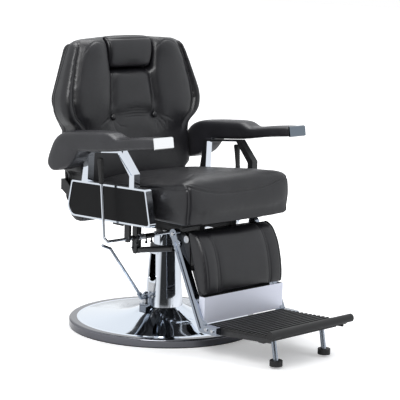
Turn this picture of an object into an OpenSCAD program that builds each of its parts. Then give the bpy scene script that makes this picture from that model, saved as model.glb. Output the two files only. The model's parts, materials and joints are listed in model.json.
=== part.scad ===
// Barber chair: hydraulic column on a round dish base, seat between two steel side frames, a back
// that reclines with the leg rest, a footrest with two stub legs, and a headrest that slides up.
// The origin is on the floor under the column. The front is -Y, up is +Z, the sitter's right is -X.

/* [Base] */
// Outer diameter of the base
base_d = 680; // [620:1:740]
// Height of the rim above the floor
base_rim_h = 31; // [27:1:40]
// Width of the rim band
base_band = 28; // [22:1:36]
// Height of the rubber foot ring
foot_ring_h = 4; // [3:0.5:6]
// Sheet thickness of the dish
dish_t = 2.5; // [2:0.25:3]
// Rise of the dish from the rim to the neck
dish_rise = 47; // [40:1:56]

/* [Column] */
// Diameter of the sleeve at its foot
sleeve_low_d = 137; // [132:1:146]
// Diameter of the sleeve at its top
sleeve_top_d = 107; // [104:1:116]
// Height of the sleeve
sleeve_h = 208; // [198:1:230]
// Wall of the sleeve
sleeve_t = 2; // [1.5:0.25:3]
// Height of the black guide collar on the sleeve
collar_h = 12; // [8:1:16]
// Width of the slot in the sleeve
slot_w = 40; // [30:1:46]
// Height of the slot's foot above the sleeve's foot
slot_foot = 92; // [84:1:100]
// Length of the slot
slot_len = 98; // [80:1:100]
// Outer diameter of the lifting tube
tube_d = 84; // [80:1:88]
// Wall of the lifting tube
tube_t = 4; // [3:0.5:5]
// Diameter of the ram
ram_d = 38; // [32:1:42]
// Outer diameter of the pump barrel
barrel_d = 68; // [62:1:70]
// Lift of the column
lift_travel = 150; // [120:1:150]

/* [Pump lever] */
// Distance of the pump pivot from the column axis
pump_pivot_out = 76; // [74:1:80]
// Height of the pump pivot above the dish neck
pump_pivot_up = 40; // [38:1:46]
// Reach of the lever from its pivot to its tip
lever_reach = 222; // [200:1:222]
// Rise of the lever from its pivot to its tip
lever_rise = 208; // [180:1:210]
// Length of the bent tip of the lever
lever_tip = 38; // [30:1:46]
// Diameter of the lever rod
lever_rod_d = 10; // [8:0.5:11]
// Diameter of the pump plunger
plunger_d = 12; // [10:0.5:13]

/* [Seat] */
// Width of the seat cushion
seat_w = 514; // [500:1:520]
// Distance of the seat's front from the column axis
seat_front = 370; // [350:1:390]
// Distance of the seat's rear from the column axis
seat_rear = 113; // [106:1:114]
// Height of the underside of the seat cushion
seat_z = 432; // [430:1:445]
// Height of the cushion's front corners over its underside
seat_front_h = 152; // [130:1:160]
// Height of the cushion's rear corners over its underside
seat_rear_h = 112; // [100:1:124]
// Crown of the seat cushion
seat_crown = 12; // [6:1:20]
// Thickness of the seat board
seat_board_t = 15; // [12:1:18]
// Distance of the seat board's edges from the cushion's edges
seat_board_edge = 60; // [50:1:64]
// Distance of the seat board's front from the column axis
seat_board_front = 286; // [270:1:288]

/* [Side frames] */
// Gap between the seat cushion and a side frame
side_gap = 19; // [17:1:24]
// Width of the chrome band of a side frame
side_band = 27; // [24:1:30]
// Thickness of the chrome band
side_strip = 6; // [4:0.5:8]
// Distance of the frame's lower front corner from the column axis
side_front = 242; // [230:1:260]
// Distance of the frame's lower rear corner from the column axis
side_rear = 193; // [188:1:200]
// Height of the frame's lower rear corner above the floor
side_z = 410; // [406:1:416]
// Height of the side frame
side_h = 127; // [110:1:135]
// Set-back of the upper front corner
side_front_rake = 28; // [10:1:40]
// Set-back of the upper rear corner
side_rear_rake = 29; // [10:1:40]
// Rise of the frame from its rear to its front
side_slope = 11; // [0:1:16]

/* [Arm rests] */
// Width of an arm pad
arm_w = 83; // [74:1:90]
// Offset of the pad's inner side from the frame's inner side
arm_inset = 9; // [8:1:14]
// Distance of the pads' front from the column axis
arm_front = 322; // [300:1:340]
// Distance of the pads' rear from the column axis
arm_rear = 231; // [222:1:232]
// Height of the lowest point of the pads
arm_z = 570; // [565:1:580]
// Height of the pads from their lowest to their highest point
arm_h = 165; // [150:1:175]
// Thickness of the end cap of a pad
arm_cap_t = 6; // [4:0.5:8]
// Thickness of the rail under a pad
arm_rail_t = 6; // [5:0.5:8]

/* [Recline lever] */
// Distance of the lever shaft in front of the column axis
shaft_front = 50; // [46:1:56]
// Height of the lever shaft above the floor
shaft_z = 350; // [348:1:354]
// Diameter of the lever shaft
shaft_d = 10; // [8:0.5:11]
// Distance of the lever rods from the side frames
lever_out = 32; // [26:1:36]
// Height of the foot of the grips above the floor
grip_z = 548; // [530:1:560]
// Length of a grip
grip_len = 88; // [76:1:90]
// Lean of the lever rods to the rear, in degrees
grip_lean = 5.6; // [3:0.1:7]

/* [Recline link and lock] */
// Distance of the back pivot behind the column axis
back_pivot_rear = 170; // [168:1:172]
// Height of the back pivot above the floor
back_pivot_z = 440; // [439:1:442]
// Distance of the leg pivot in front of the column axis
leg_pivot_front = 297; // [295:1:298]
// Height of the leg pivot above the floor
leg_pivot_z = 380; // [379:1:381]
// Diameter of the two leg pivot pins
leg_pin_d = 14; // [12:0.5:16]
// Diameter of the two back pivot pins
back_pin_d = 16; // [14:0.5:18]
// Length of the cranks of the coupling link
crank_len = 45; // [42:1:46]
// Angle of the coupling cranks in front of straight down at rest, in degrees
crank_angle = 5; // [3:1:7]
// Diameter of the coupling link
link_d = 11; // [10:0.5:12]
// Distance of the coupling link from the middle plane
link_side = 148; // [146:1:150]
// Distance of the lock cylinder from the middle plane
lock_side = 148; // [146:1:150]
// Length of the lock crank
lock_crank_len = 37; // [36:0.1:38]
// Angle of the lock crank behind straight down at rest, in degrees
lock_crank_angle = 18.9; // [18:0.1:20]
// Distance of the lock's rear pin in front of the column axis
lock_rear_front = 10; // [6:1:14]
// Height of the lock's rear pin above the floor
lock_rear_z = 295; // [292:1:298]
// Diameter of the lock cylinder
lock_d = 21; // [18:1:22]
// Length of the lock cylinder
lock_len = 190; // [180:1:196]
// Diameter of the lock rod
lock_rod_d = 9; // [8:0.5:10]

/* [Backrest] */
// Widest width of the back cushion
back_w = 676; // [640:1:690]
// Height of the foot of the back cushion above the floor
back_z = 371; // [368:1:374]
// Height of the back cushion
back_h = 661; // [630:1:690]
// Distance of the flat rear of the back cushion behind the column axis
back_rear = 268; // [266:1:272]
// Greatest depth of the back cushion
back_depth = 142; // [138:1:142]
// Set-forward of the side wings
wing_depth = 22; // [10:1:26]
// Gap between the lower back cushion and a side frame
back_gap = 26; // [22:1:30]
// Thickness of the back board
back_board_t = 12; // [10:1:15]
// Distance of the buttons from the middle plane
button_side = 101; // [80:1:106]
// Diameter of a button
button_d = 18; // [14:1:22]

/* [Headrest] */
// Width of the headrest pad at its top
head_w = 214; // [190:1:230]
// Width of the headrest pad at its foot
head_low_w = 196; // [180:1:206]
// Height of the headrest pad
head_h = 108; // [96:1:120]
// Depth of the headrest pad
head_depth = 69; // [60:1:76]
// Slide of the headrest
head_travel = 120; // [80:1:120]

/* [Leg rest] */
// Distance of the outer faces of the leg arms from the middle plane
leg_side = 205; // [203:1:210]
// Width of a leg arm seen from the side
leg_arm_w = 27; // [24:1:29]
// Thickness of a leg arm
leg_arm_t = 22; // [18:1:23]
// Distance of the upper ends of the leg arms in front of the column axis
leg_head_front = 250; // [248:1:252]
// Height of the upper ends of the leg arms above the floor
leg_head_z = 394; // [392:1:395]
// Distance of the leg arms' knee in front of the column axis
knee_front = 394; // [390:1:400]
// Height of the knee above the floor
knee_z = 95; // [92:1:98]
// Length of the leg arm's foot
leg_foot_len = 72; // [64:1:80]
// Width of the calf pad and the kick plate
calf_w = 388; // [370:1:396]
// Height of the foot of the calf pad above the floor
calf_z = 199; // [196:1:204]
// Height of the calf pad
calf_h = 214; // [200:1:218]
// Distance of the face of the kick plate in front of the column axis
kick_front = 398; // [394:1:402]
// Height of the foot of the kick plate above the floor
kick_z = 109; // [107:1:112]
// Sheet thickness of the kick plate
kick_t = 2; // [1.5:0.25:3]
// Thickness of the calf board
calf_board_t = 12; // [10:1:14]

/* [Footrest] */
// Distance of the nose axis in front of the column axis
nose_front = 702; // [680:1:720]
// Height of the nose axis above the floor
nose_z = 129; // [120:1:134]
// Diameter of the nose
nose_d = 28; // [22:1:32]
// Width over the nose
nose_w = 404; // [380:1:410]
// Height of the rear edge of the tread above the floor
tread_z = 104; // [98:1:106]
// Thickness of the tread under its ribs
tread_t = 8; // [6:0.5:10]
// Number of ribs on the tread
rib_count = 15; // [8:1:20]
// Height of the ribs
rib_h = 4; // [2:0.5:5]
// Distance of the stub legs from the middle plane
stub_side = 120; // [100:1:140]
// Diameter of a stub leg
stub_d = 17; // [14:1:20]
// Diameter of a rubber foot
rubber_d = 43; // [36:1:48]
// Height of a rubber foot
rubber_h = 19; // [14:1:22]
// Height of the rubber feet above the floor
rubber_z = 8; // [5:1:10]

/* [Hidden] */
$fn = 64;

// Fits and small named sizes
cut_over = 1;
run_fit = 0.05;
slide_fit = 0.3;
soft_gap = 0.3;
round_n = 5;

// Colours
chrome_c = "gainsboro";
steel_c = "silver";
black_c = [0.1, 0.1, 0.11];
leather_c = [0.13, 0.13, 0.14];
rubber_c = [0.07, 0.07, 0.07];
wood_c = "burlywood";

// Places worked out from the sizes above
base_r = base_d / 2;
neck_z = base_rim_h + dish_rise;
neck_land = 3;
neck_r = sleeve_low_d / 2 + neck_land;
sleeve_z1 = neck_z + sleeve_h;
barrel_r = barrel_d / 2;
ram_r = ram_d / 2;
tube_r = tube_d / 2;
side_in = seat_w / 2 + side_gap;
side_out = side_in + side_band;
board_z = seat_z - seat_board_t;
back_pivot = [back_pivot_rear, back_pivot_z];
leg_pivot = [-leg_pivot_front, leg_pivot_z];
leg_head = [-leg_head_front, leg_head_z];
shaft_at = [-shaft_front, shaft_z];
grip_side = side_out + lever_out;
arm_in = side_in + arm_inset;
arm_mid = arm_in + arm_w / 2;

function unit(v) = v / norm(v);
function polar(r, a) = r * [cos(a), sin(a)];
function mix(a, b, s) = a + (b - a) * s;
function power(v, e) = sign(v) * pow(abs(v), e);

// The corners of outline p, each rounded to its radius in rr with n steps
function rounded(p, rr, n = round_n) = [
  for (i = [0 : len(p) - 1])
    let (
      b = p[i],
      u = unit(p[(i + len(p) - 1) % len(p)] - b),
      v = unit(p[(i + 1) % len(p)] - b),
      half = acos(u * v) / 2,
      c = b + unit(u + v) * rr[i] / sin(half),
      d0 = b + u * rr[i] / tan(half) - c,
      d1 = b + v * rr[i] / tan(half) - c
    )
    for (k = [0 : n])
      c + unit(mix(d0, d1, k / n)) * rr[i]
];

// A convex outline moved inwards by d on every side
function inset(p, d) = [
  for (i = [0 : len(p) - 1])
    let (
      b = p[i],
      u = unit(p[(i + len(p) - 1) % len(p)] - b),
      v = unit(p[(i + 1) % len(p)] - b),
      half = acos(u * v) / 2
    )
    b + unit(u + v) * d / sin(half)
];

// An outline in Y and Z, made t thick from x0 towards +X
module plate_x(x0, t, p) {
  translate([x0, 0, 0])
    rotate([90, 0, 90])
      linear_extrude(t)
        polygon(p);
}

// A round bar between two points
module bar(a, b, r) {
  v = b - a;
  translate(a)
    rotate([0, acos(v.z / norm(v)), atan2(v.y, v.x)])
      cylinder(h = norm(v), r = r);
}

// A cylinder along X from x0 to x1 at the place yz
module pin_x(x0, x1, yz, r) {
  translate([x0, yz.x, yz.y])
    rotate([0, 90, 0])
      cylinder(h = x1 - x0, r = r);
}

module both_sides() {
  children();
  mirror([1, 0, 0])
    children();
}

// A closed skin through rings with equal counts of points. The ends are fans, or the triangles of lid.
module loft(rings, lid = []) {
  n = len(rings[0]);
  m = len(rings);
  fans = len(lid) == 0;
  ends = [for (r = [rings[0], rings[m - 1]]) [for (i = [0 : n - 1]) 1] * r / n];
  points = concat([for (r = rings) each r], fans ? ends : []);
  sides = [
    for (j = [0 : m - 2], i = [0 : n - 1])
      let (a = j * n + i, b = j * n + (i + 1) % n)
      each [[a, b + n, b], [a, a + n, b + n]]
  ];
  caps = fans ? [
    for (i = [0 : n - 1])
      let (b = (i + 1) % n)
      each [[m * n, i, b], [m * n + 1, (m - 1) * n + b, (m - 1) * n + i]]
  ] : [for (t = lid) each [t, [t[2], t[1], t[0]] + [1, 1, 1] * (m - 1) * n]];
  polyhedron(points, concat(sides, caps));
}

// Height of the dish's upper face at radius r: a gentle slope and a flare at the neck
dish_in_r = base_r - base_band;
dish_gentle_share = 0.42;
function dish_top(r) =
  let (u = (dish_in_r - r) / (dish_in_r - neck_r))
  base_rim_h + dish_rise * (dish_gentle_share * u + (1 - dish_gentle_share) * pow(u, 5));
dish_steps = 18;
dish_curve = [for (i = [0 : dish_steps]) let (r = mix(dish_in_r, neck_r, i / dish_steps)) [r, dish_top(r)]];
lip_drop = 8;

module foot_ring() {
  inset_out = 3;
  color(rubber_c)
    rotate_extrude($fn = 180)
      translate([base_r - base_band + inset_out, 0])
        square([base_band - 2 * inset_out, foot_ring_h]);
}

module rim_ring() {
  bead = 7;
  low = foot_ring_h;
  color(chrome_c)
    rotate_extrude($fn = 180)
      union() {
        translate([dish_in_r, low])
          square([base_band - bead, base_rim_h - low]);
        translate([base_r - bead - cut_over, low])
          square([bead + cut_over, base_rim_h - low - bead]);
        translate([base_r - bead, base_rim_h - bead])
          circle(r = bead);
      }
}

module base_dish() {
  hole_r = barrel_r + slide_fit;
  color(chrome_c)
    rotate_extrude($fn = 180)
      polygon(concat(
        [[dish_in_r, base_rim_h - lip_drop]],
        dish_curve,
        [[hole_r, neck_z], [hole_r, neck_z - dish_t]],
        [for (i = [dish_steps : -1 : 1]) dish_curve[i] - [0, dish_t]],
        [[dish_in_r - dish_t, base_rim_h - lip_drop]]
      ));
}

// The pump: a barrel with a flange under the dish's neck and a tank below
flange_r = sleeve_low_d / 2 - sleeve_t;
flange_t = 12;
barrel_top = sleeve_z1 - collar_h / 2;
barrel_wall = 7;
gland_h = 14;
tank_r = 56;

module pump_body() {
  bore_r = barrel_r - barrel_wall;
  floor_t = 6;
  flange_z = neck_z - dish_t - flange_t;
  color(black_c)
    difference() {
      union() {
        translate([0, 0, foot_ring_h])
          cylinder(h = flange_z - foot_ring_h, r = tank_r);
        translate([0, 0, flange_z])
          cylinder(h = flange_t, r = flange_r);
        translate([0, 0, flange_z])
          cylinder(h = barrel_top - gland_h - flange_z, r = barrel_r);
      }
      translate([0, 0, foot_ring_h + floor_t])
        cylinder(h = barrel_top, r = bore_r);
    }
}

module pump_gland() {
  color(steel_c)
    translate([0, 0, barrel_top - gland_h])
      difference() {
        cylinder(h = gland_h, r = barrel_r);
        translate([0, 0, -cut_over])
          cylinder(h = gland_h + 2 * cut_over, r = ram_r + run_fit);
      }
}

module neck_bolts() {
  head_h = 6;
  head_r = 8;
  circle_r = (barrel_r + flange_r) / 2;
  color(steel_c)
    for (a = [45 : 90 : 315])
      translate(concat(polar(circle_r, a), neck_z))
        cylinder(h = head_h, r = head_r, $fn = 6);
}

// Outer radius of the sleeve at height z
function sleeve_r(z) = mix(sleeve_low_d / 2, sleeve_top_d / 2, (z - neck_z) / sleeve_h);

module sleeve_cone(grow, z0, z1) {
  translate([0, 0, z0])
    cylinder(h = z1 - z0, r1 = sleeve_r(z0) + grow, r2 = sleeve_r(z1) + grow);
}

notch_w = 26;
notch_h = 34;

module column_sleeve() {
  reach = sleeve_low_d;
  slot_z = neck_z + slot_foot + slot_w / 2;
  color(chrome_c)
    difference() {
      sleeve_cone(0, neck_z, sleeve_z1);
      sleeve_cone(-sleeve_t, neck_z - cut_over, sleeve_z1 + cut_over);
      translate([-reach, 0, slot_z])
        rotate([0, 90, 0])
          cylinder(h = reach, r = slot_w / 2);
      translate([-reach, -slot_w / 2, slot_z])
        cube([reach, slot_w, slot_len - slot_w / 2]);
      translate([-reach, -notch_w / 2, neck_z - cut_over])
        cube([reach, notch_w, notch_h + cut_over]);
    }
}

// A flat-edged cover strip, bowed to the sleeve, between the pump bracket and the slot
module sleeve_strip() {
  strip_t = 2;
  strip_w = slot_w * 0.8;
  edge = 6;
  z0 = pump_at.y + hub_r + edge / 2;
  z1 = neck_z + slot_foot - edge;
  color(steel_c)
    intersection() {
      difference() {
        sleeve_cone(strip_t, neck_z, sleeve_z1);
        sleeve_cone(0, neck_z - cut_over, sleeve_z1 + cut_over);
      }
      translate([-sleeve_low_d, -strip_w / 2, z0])
        cube([sleeve_low_d, strip_w, z1 - z0]);
    }
}

module sleeve_collar() {
  lip = 3;
  color(black_c)
    difference() {
      union() {
        translate([0, 0, sleeve_z1])
          cylinder(h = collar_h, r = sleeve_top_d / 2);
        translate([0, 0, sleeve_z1 - collar_h])
          cylinder(h = collar_h, r = sleeve_r(sleeve_z1) - sleeve_t - slide_fit);
      }
      translate([0, 0, sleeve_z1 - collar_h - cut_over])
        cylinder(h = 2 * collar_h + 2 * cut_over, r = tube_r + run_fit);
    }
}

// Pump lever parts, drawn with the pivot along Y
pump_at = [-pump_pivot_out, neck_z + pump_pivot_up];
pump_pin_r = 5;
hub_r = 10;
hub_half = 9.5;
ear_t = 6.5;
plunger_out = 16;
plunger_x = -pump_pivot_out - plunger_out;
boss_r = hub_half - 1;
plunger_top = pump_at.y - boss_r - slide_fit;
block_h = 15;

module pin_y(x, z, half, r) {
  translate([x, half, z])
    rotate([90, 0, 0])
      cylinder(h = 2 * half, r = r);
}

module pump_bracket() {
  ear_half = hub_half + ear_t + slide_fit;
  block_out = plunger_x - plunger_d / 2 - ear_t;
  ear_r = hub_r + 1.5 * pump_pin_r / 2;
  tongue_x = -barrel_r;
  color(black_c)
    difference() {
      union() {
        translate([block_out, -ear_half, neck_z - dish_rise / 2])
          cube([-block_out - sleeve_low_d / 2, 2 * ear_half, block_h + dish_rise / 2]);
        translate([-sleeve_low_d / 2 - cut_over, -notch_w / 2 + slide_fit, neck_z])
          cube([sleeve_low_d / 2 + cut_over + tongue_x, notch_w - 2 * slide_fit, block_h]);
        pin_y(pump_at.x, pump_at.y, ear_half, ear_r);
        translate([pump_at.x - ear_r, -ear_half, neck_z + block_h - cut_over])
          cube([2 * ear_r, 2 * ear_half, pump_at.y - neck_z - block_h + cut_over]);
      }
      translate([-base_r, -hub_half - slide_fit, neck_z + block_h])
        cube([base_r, 2 * hub_half + 2 * slide_fit, base_r]);
      pin_y(pump_at.x, pump_at.y, base_r, pump_pin_r);
      translate([plunger_x, 0, 0])
        cylinder(h = base_r, r = plunger_d / 2 + run_fit);
      difference() {
        translate([0, 0, neck_z])
          cylinder(h = base_r, r = sleeve_low_d / 2 + slide_fit);
        translate([-base_r, -notch_w / 2 + slide_fit, 0])
          cube([base_r, notch_w - 2 * slide_fit, neck_z + block_h]);
      }
      cylinder(h = base_r, r = barrel_r);
      rotate_extrude($fn = 180)
        polygon(concat([[0, 0], [dish_in_r, 0]], [for (p = dish_curve) p + [0, slide_fit]],
          [[0, neck_z + slide_fit]]));
    }
}

module pump_pivot_pin() {
  head_t = 3;
  color(steel_c)
    pin_y(pump_at.x, pump_at.y, hub_half + ear_t + slide_fit + head_t, pump_pin_r - run_fit);
}

socket_len = 34;
lever_tip_angle = 22;
lever_end = [-pump_pivot_out - lever_reach, 0, pump_at.y + lever_rise];
lever_bend = lever_end + lever_tip * [cos(lever_tip_angle), 0, -sin(lever_tip_angle)];
lever_foot = [-pump_pivot_out - socket_len, 0, pump_at.y];

module pump_lever_hub() {
  clamp_r = 4;
  knuckle_r = boss_r * 1.08;
  up = unit(lever_bend - lever_foot);
  clamp = lever_foot + up * socket_len / 3;
  color(black_c)
    difference() {
      union() {
        pin_y(pump_at.x, pump_at.y, hub_half, hub_r);
        bar([pump_at.x, 0, pump_at.y], lever_foot, boss_r);
        translate(lever_foot)
          sphere(r = knuckle_r);
        bar(lever_foot, lever_foot + up * socket_len / 2, boss_r);
        pin_y(clamp.x, clamp.z, hub_half + clamp_r, clamp_r);
      }
      pin_y(pump_at.x, pump_at.y, base_r, pump_pin_r + run_fit);
      bar(lever_foot, lever_bend, lever_rod_d / 2);
    }
}

module pump_lever_rod() {
  r = lever_rod_d / 2;
  knuckle_r = r * 1.1;
  color(steel_c)
    union() {
      bar(lever_foot, lever_bend, r);
      translate(lever_bend)
        sphere(r = knuckle_r);
      bar(lever_bend, lever_end, r);
      translate(lever_end)
        sphere(r = knuckle_r);
    }
}

module pump_plunger() {
  plunger_len = 26;
  color(steel_c)
    translate([plunger_x, 0, plunger_top - plunger_len])
      cylinder(h = plunger_len, r = plunger_d / 2);
}

// Lifting parts: the ram with its piston, and the tube that hides it
hub_h = 29;
hub_flange_t = 6;
cross_h = 14;
rail_h = 27;
frame_z = board_z - cross_h - rail_h;
hub_z = frame_z - hub_flange_t - hub_h;
piston_up = 14;
tube_up = 34;

module lift_ram() {
  piston_h = 20;
  piston_z = neck_z + piston_up;
  color(chrome_c)
    union() {
      translate([0, 0, piston_z])
        cylinder(h = hub_z + hub_h - slide_fit - piston_z, r = ram_r);
      translate([0, 0, piston_z])
        cylinder(h = piston_h, r = barrel_r - barrel_wall - run_fit);
    }
}

module lift_tube() {
  tube_z0 = neck_z + tube_up;
  cap_t = 6;
  color(chrome_c)
    difference() {
      translate([0, 0, tube_z0])
        cylinder(h = hub_z - slide_fit - tube_z0, r = tube_r);
      translate([0, 0, tube_z0 - cut_over])
        cylinder(h = hub_z - tube_z0 - cap_t + cut_over, r = tube_r - tube_t);
      cylinder(h = hub_z + cut_over, r = ram_r);
    }
}

// Seat parts
hub_plate_half = 92;

module swivel_hub() {
  hub_r1 = 34;
  rib_t = 8;
  color(black_c)
    difference() {
      union() {
        translate([0, 0, hub_z])
          cylinder(h = hub_h, r = hub_r1);
        for (a = [0, 90])
          rotate([0, 0, a])
            translate([0, rib_t / 2, 0])
              rotate([90, 0, 0])
                linear_extrude(rib_t)
                  polygon([[-hub_plate_half * 0.8, hub_z + hub_h], [-hub_r1 / 2, hub_z + hub_h / 4],
                    [hub_r1 / 2, hub_z + hub_h / 4], [hub_plate_half * 0.8, hub_z + hub_h]]);
        translate([-hub_plate_half, -hub_plate_half, hub_z + hub_h])
          cube([2 * hub_plate_half, 2 * hub_plate_half, hub_flange_t]);
      }
      translate([0, 0, hub_z - cut_over])
        cylinder(h = hub_h + cut_over, r = ram_r + run_fit);
    }
}

// Rails and cross bars of the seat frame
rail_x = 78;
rail_w = 25;
cross_z = board_z - cross_h;
cross_w = 26;
cross_rear = 84;
bracket_t = 6;
bracket_h = 46;
plate_end_r = 18;
leg_inner = leg_side - leg_arm_t;
leg_plate_t = 6;
leg_lug_x = leg_inner - leg_plate_t - slide_fit;
leg_lug_t = 8;
leg_lug_r = leg_pin_d * 0.75;
front_bar_h = 16;

module hub_bolts() {
  head_r = 7;
  head_h = 5;
  place = hub_plate_half - 2 * head_r;
  color(steel_c)
    for (x = [-rail_x, rail_x], y = [-place, place])
      translate([x, y, frame_z - hub_flange_t - head_h])
        cylinder(h = head_h, r = head_r, $fn = 6);
}

module seat_frame() {
  rail_front = leg_head_front + cross_w / 2;
  rail_len = rail_front + cross_rear + cross_w / 2;
  lug = [
    [cut_over - rail_front, frame_z], [cut_over - rail_front, frame_z + front_bar_h],
    leg_pivot + [0, leg_lug_r], leg_pivot - [0, leg_lug_r]
  ];
  bar_h = seat_z - soft_gap - board_z;
  color(black_c)
    difference() {
      union() {
        for (x = [-rail_x, rail_x]) {
          translate([x - rail_w / 2, -rail_front, frame_z])
            cube([rail_w, rail_len, rail_h]);
          translate([x - rail_w / 2, cross_rear - cross_w / 2, cross_z])
            cube([rail_w, cross_w, board_z - cross_z]);
          translate([x - rail_w / 2, -rail_front, cross_z])
            cube([rail_w, cross_w, cross_h]);
        }
        translate([-side_in, -shaft_front - cross_w / 2, cross_z])
          cube([2 * side_in, cross_w, cross_h]);
        translate([-side_in, cross_rear - cross_w / 2, board_z])
          cube([2 * side_in, cross_w, bar_h]);
        translate([-leg_lug_x, -rail_front, frame_z])
          cube([2 * leg_lug_x, cross_w, front_bar_h]);
        both_sides() {
          translate([side_in - bracket_t, -shaft_front - cross_w, cross_z])
            cube([bracket_t, 2 * cross_w, bracket_h]);
          translate([side_in - bracket_t, cross_rear - cross_w, board_z])
            cube([bracket_t, back_pivot_rear - cross_rear + cross_w, back_pivot_z - board_z]);
          pin_x(side_in - bracket_t, side_in, back_pivot, plate_end_r);
          plate_x(leg_lug_x - leg_lug_t, leg_lug_t, lug);
          pin_x(leg_lug_x - leg_lug_t, leg_lug_x, leg_pivot, leg_lug_r);
        }
      }
      both_sides() {
        pin_x(leg_lug_x - leg_lug_t - cut_over, leg_lug_x + cut_over, leg_pivot, leg_pin_d / 2);
        pin_x(side_in - 2 * bracket_t, side_in + cut_over, back_pivot, back_pin_d / 2);
      }
    }
}

module seat_board() {
  half = seat_w / 2 - seat_board_edge;
  color(wood_c)
    translate([-half, -seat_board_front, board_z])
      cube([2 * half, seat_board_front + seat_rear - seat_board_edge, seat_board_t]);
}

// Seat cushion: side-view rings from left to right. The seam on the front dips in the middle.
seat_seam_mid_share = 0.69;
seat_seam_end_share = 0.95;
seat_end_shares = [[0, 0.945], [0.008, 0.975], [0.03, 0.993], [0.07, 1], [0.17, 1], [0.3, 1], [0.42, 1]];

function seat_side(x, shrink) =
  let (
    s = abs(x) / (seat_w / 2),
    h1 = (seat_front_h + seat_crown * (1 - s * s)) * shrink,
    h0 = (seat_rear_h + seat_crown * (1 - s * s)) * shrink,
    seam = seat_front_h * shrink * mix(seat_seam_mid_share, seat_seam_end_share, pow(s, 4)),
    f = -seat_front + seat_front * (1 - shrink),
    r = seat_rear - seat_rear * (1 - shrink),
    edge = seat_crown,
    groove = seat_crown / 2,
    crown = seat_crown * (1 - pow(s, 4))
  )
  [
    [r - edge, 0], [r - groove, groove], [r - edge / 2, h0 * 0.3], [r - edge / 4, h0 * 0.6],
    [r, h0 - 2 * edge],
    [r - edge / 3, h0 - edge], [r - edge, h0 - edge / 3], [r - 2 * edge, h0],
    for (t = [0.15 : 0.12 : 0.87])
      [mix(r, f, t), mix(h0, h1, t) + crown * 4 * t * (1 - t) - edge * 4 * t * (1 - t) / 2],
    [f + 2.4 * edge, h1], [f + 1.2 * edge, h1 - edge / 4], [f + edge / 3, h1 - edge * 0.9],
    [f, h1 - 1.6 * edge], [f + edge / 6, max(seam + groove, h1 * 0.74)],
    [f + groove, seam], [f + edge / 6, seam - groove],
    [f, seam * 0.72], [f, seam * 0.4], [f + edge / 3, groove], [f + edge, 0],
    [mix(r, f, 0.7), 0], [mix(r, f, 0.35), 0]
  ];

module seat_cushion() {
  half = [for (e = seat_end_shares) [e[0] * seat_w - seat_w / 2, e[1]]];
  rows = concat(half, [[0, 1]], [for (i = [len(half) - 1 : -1 : 0]) [-half[i][0], half[i][1]]]);
  color(leather_c)
    translate([0, 0, seat_z])
      loft([for (q = rows) [for (p = seat_side(q[0], q[1])) [q[0], p.x, p.y]]]);
}

// Side frames: a bent chrome band round a black panel
side_outline = [
  [side_rear, side_z], [side_rear - side_rear_rake, side_z + side_h],
  [-side_front + side_front_rake, side_z + side_h + side_slope], [-side_front, side_z + side_slope]
];
side_low_r = 36;
side_top_r = 9;
side_nose_r = 12;
side_radii = [side_low_r, side_top_r, side_top_r, side_nose_r];
side_hole = rounded(inset(side_outline, side_strip), side_radii - [1, 1, 1, 1] * side_strip / 2);

module side_trim() {
  color(chrome_c)
    difference() {
      plate_x(side_in, side_band, rounded(side_outline, side_radii));
      plate_x(side_in - cut_over, side_band + 2 * cut_over, side_hole);
    }
}

module side_panel() {
  recess = 2;
  panel_t = side_band - recess;
  color(black_c)
    plate_x(side_in, panel_t, side_hole);
}

// Arm pads: rings from the front end to the drooping rear end, each from its foot to its top,
// as shares of the pad's length and height, with the width last
arm_ring_shares = [
  [[0.000, 0.770], [0.011, 1.000], 0.98], [[0.060, 0.748], [0.068, 0.985], 1],
  [[0.175, 0.703], [0.18, 0.945], 1], [[0.300, 0.640], [0.306, 0.885], 1],
  [[0.350, 0.606], [0.358, 0.880], 1], [[0.390, 0.588], [0.398, 0.925], 1],
  [[0.427, 0.570], [0.436, 0.964], 1], [[0.500, 0.545], [0.509, 0.968], 1],
  [[0.580, 0.521], [0.589, 0.952], 1], [[0.640, 0.503], [0.660, 0.935], 1],
  [[0.690, 0.485], [0.734, 0.910], 1], [[0.722, 0.380], [0.800, 0.885], 1],
  [[0.742, 0.290], [0.855, 0.850], 1], [[0.775, 0.180], [0.905, 0.780], 1],
  [[0.815, 0.100], [0.945, 0.660], 1], [[0.860, 0.045], [0.975, 0.480], 1],
  [[0.905, 0.010], [0.995, 0.320], 0.99], [[0.940, 0.000], [1.000, 0.190], 0.96],
  [[0.962, 0.020], [0.995, 0.120], 0.85]
];
arm_flat_share = 0.16;
arm_round_share = 0.42;
arm_round_n = 24;

function arm_at(q) = [mix(-arm_front, arm_rear, q.x), arm_z + arm_h * q.y];

function arm_ring(row) =
  let (lo = arm_at(row[0]), hi = arm_at(row[1]), mid = (lo + hi) / 2, up = (hi - lo) / 2)
  [
    for (i = [0 : arm_round_n - 1])
      let (
        a = 360 * (i + 0.5) / arm_round_n,
        e = sin(a) < 0 ? arm_flat_share : arm_round_share,
        p = mid + up * power(sin(a), e)
      )
      [arm_mid + arm_w / 2 * row[2] * power(cos(a), e), p.x, p.y]
  ];

// The rail follows the underside of the pad
rail_rear = arm_at(arm_ring_shares[10][0]);
rail_front = arm_at(arm_ring_shares[6][0]);
function rail_top(y) = mix(rail_rear.y, rail_front.y, (y - rail_rear.x) / (rail_front.x - rail_rear.x));
function side_top(y) =
  let (a = side_outline[1], b = side_outline[2])
  mix(a.y, b.y, (y - a.x) / (b.x - a.x));

post_rear = 111;
post_rear_w = 32;
post_top_rear = 92;
post_top_w = 17;
post_front = 158;
post_front_w = 24;
knee_up = 46;
post_top_front = 92;

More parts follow.
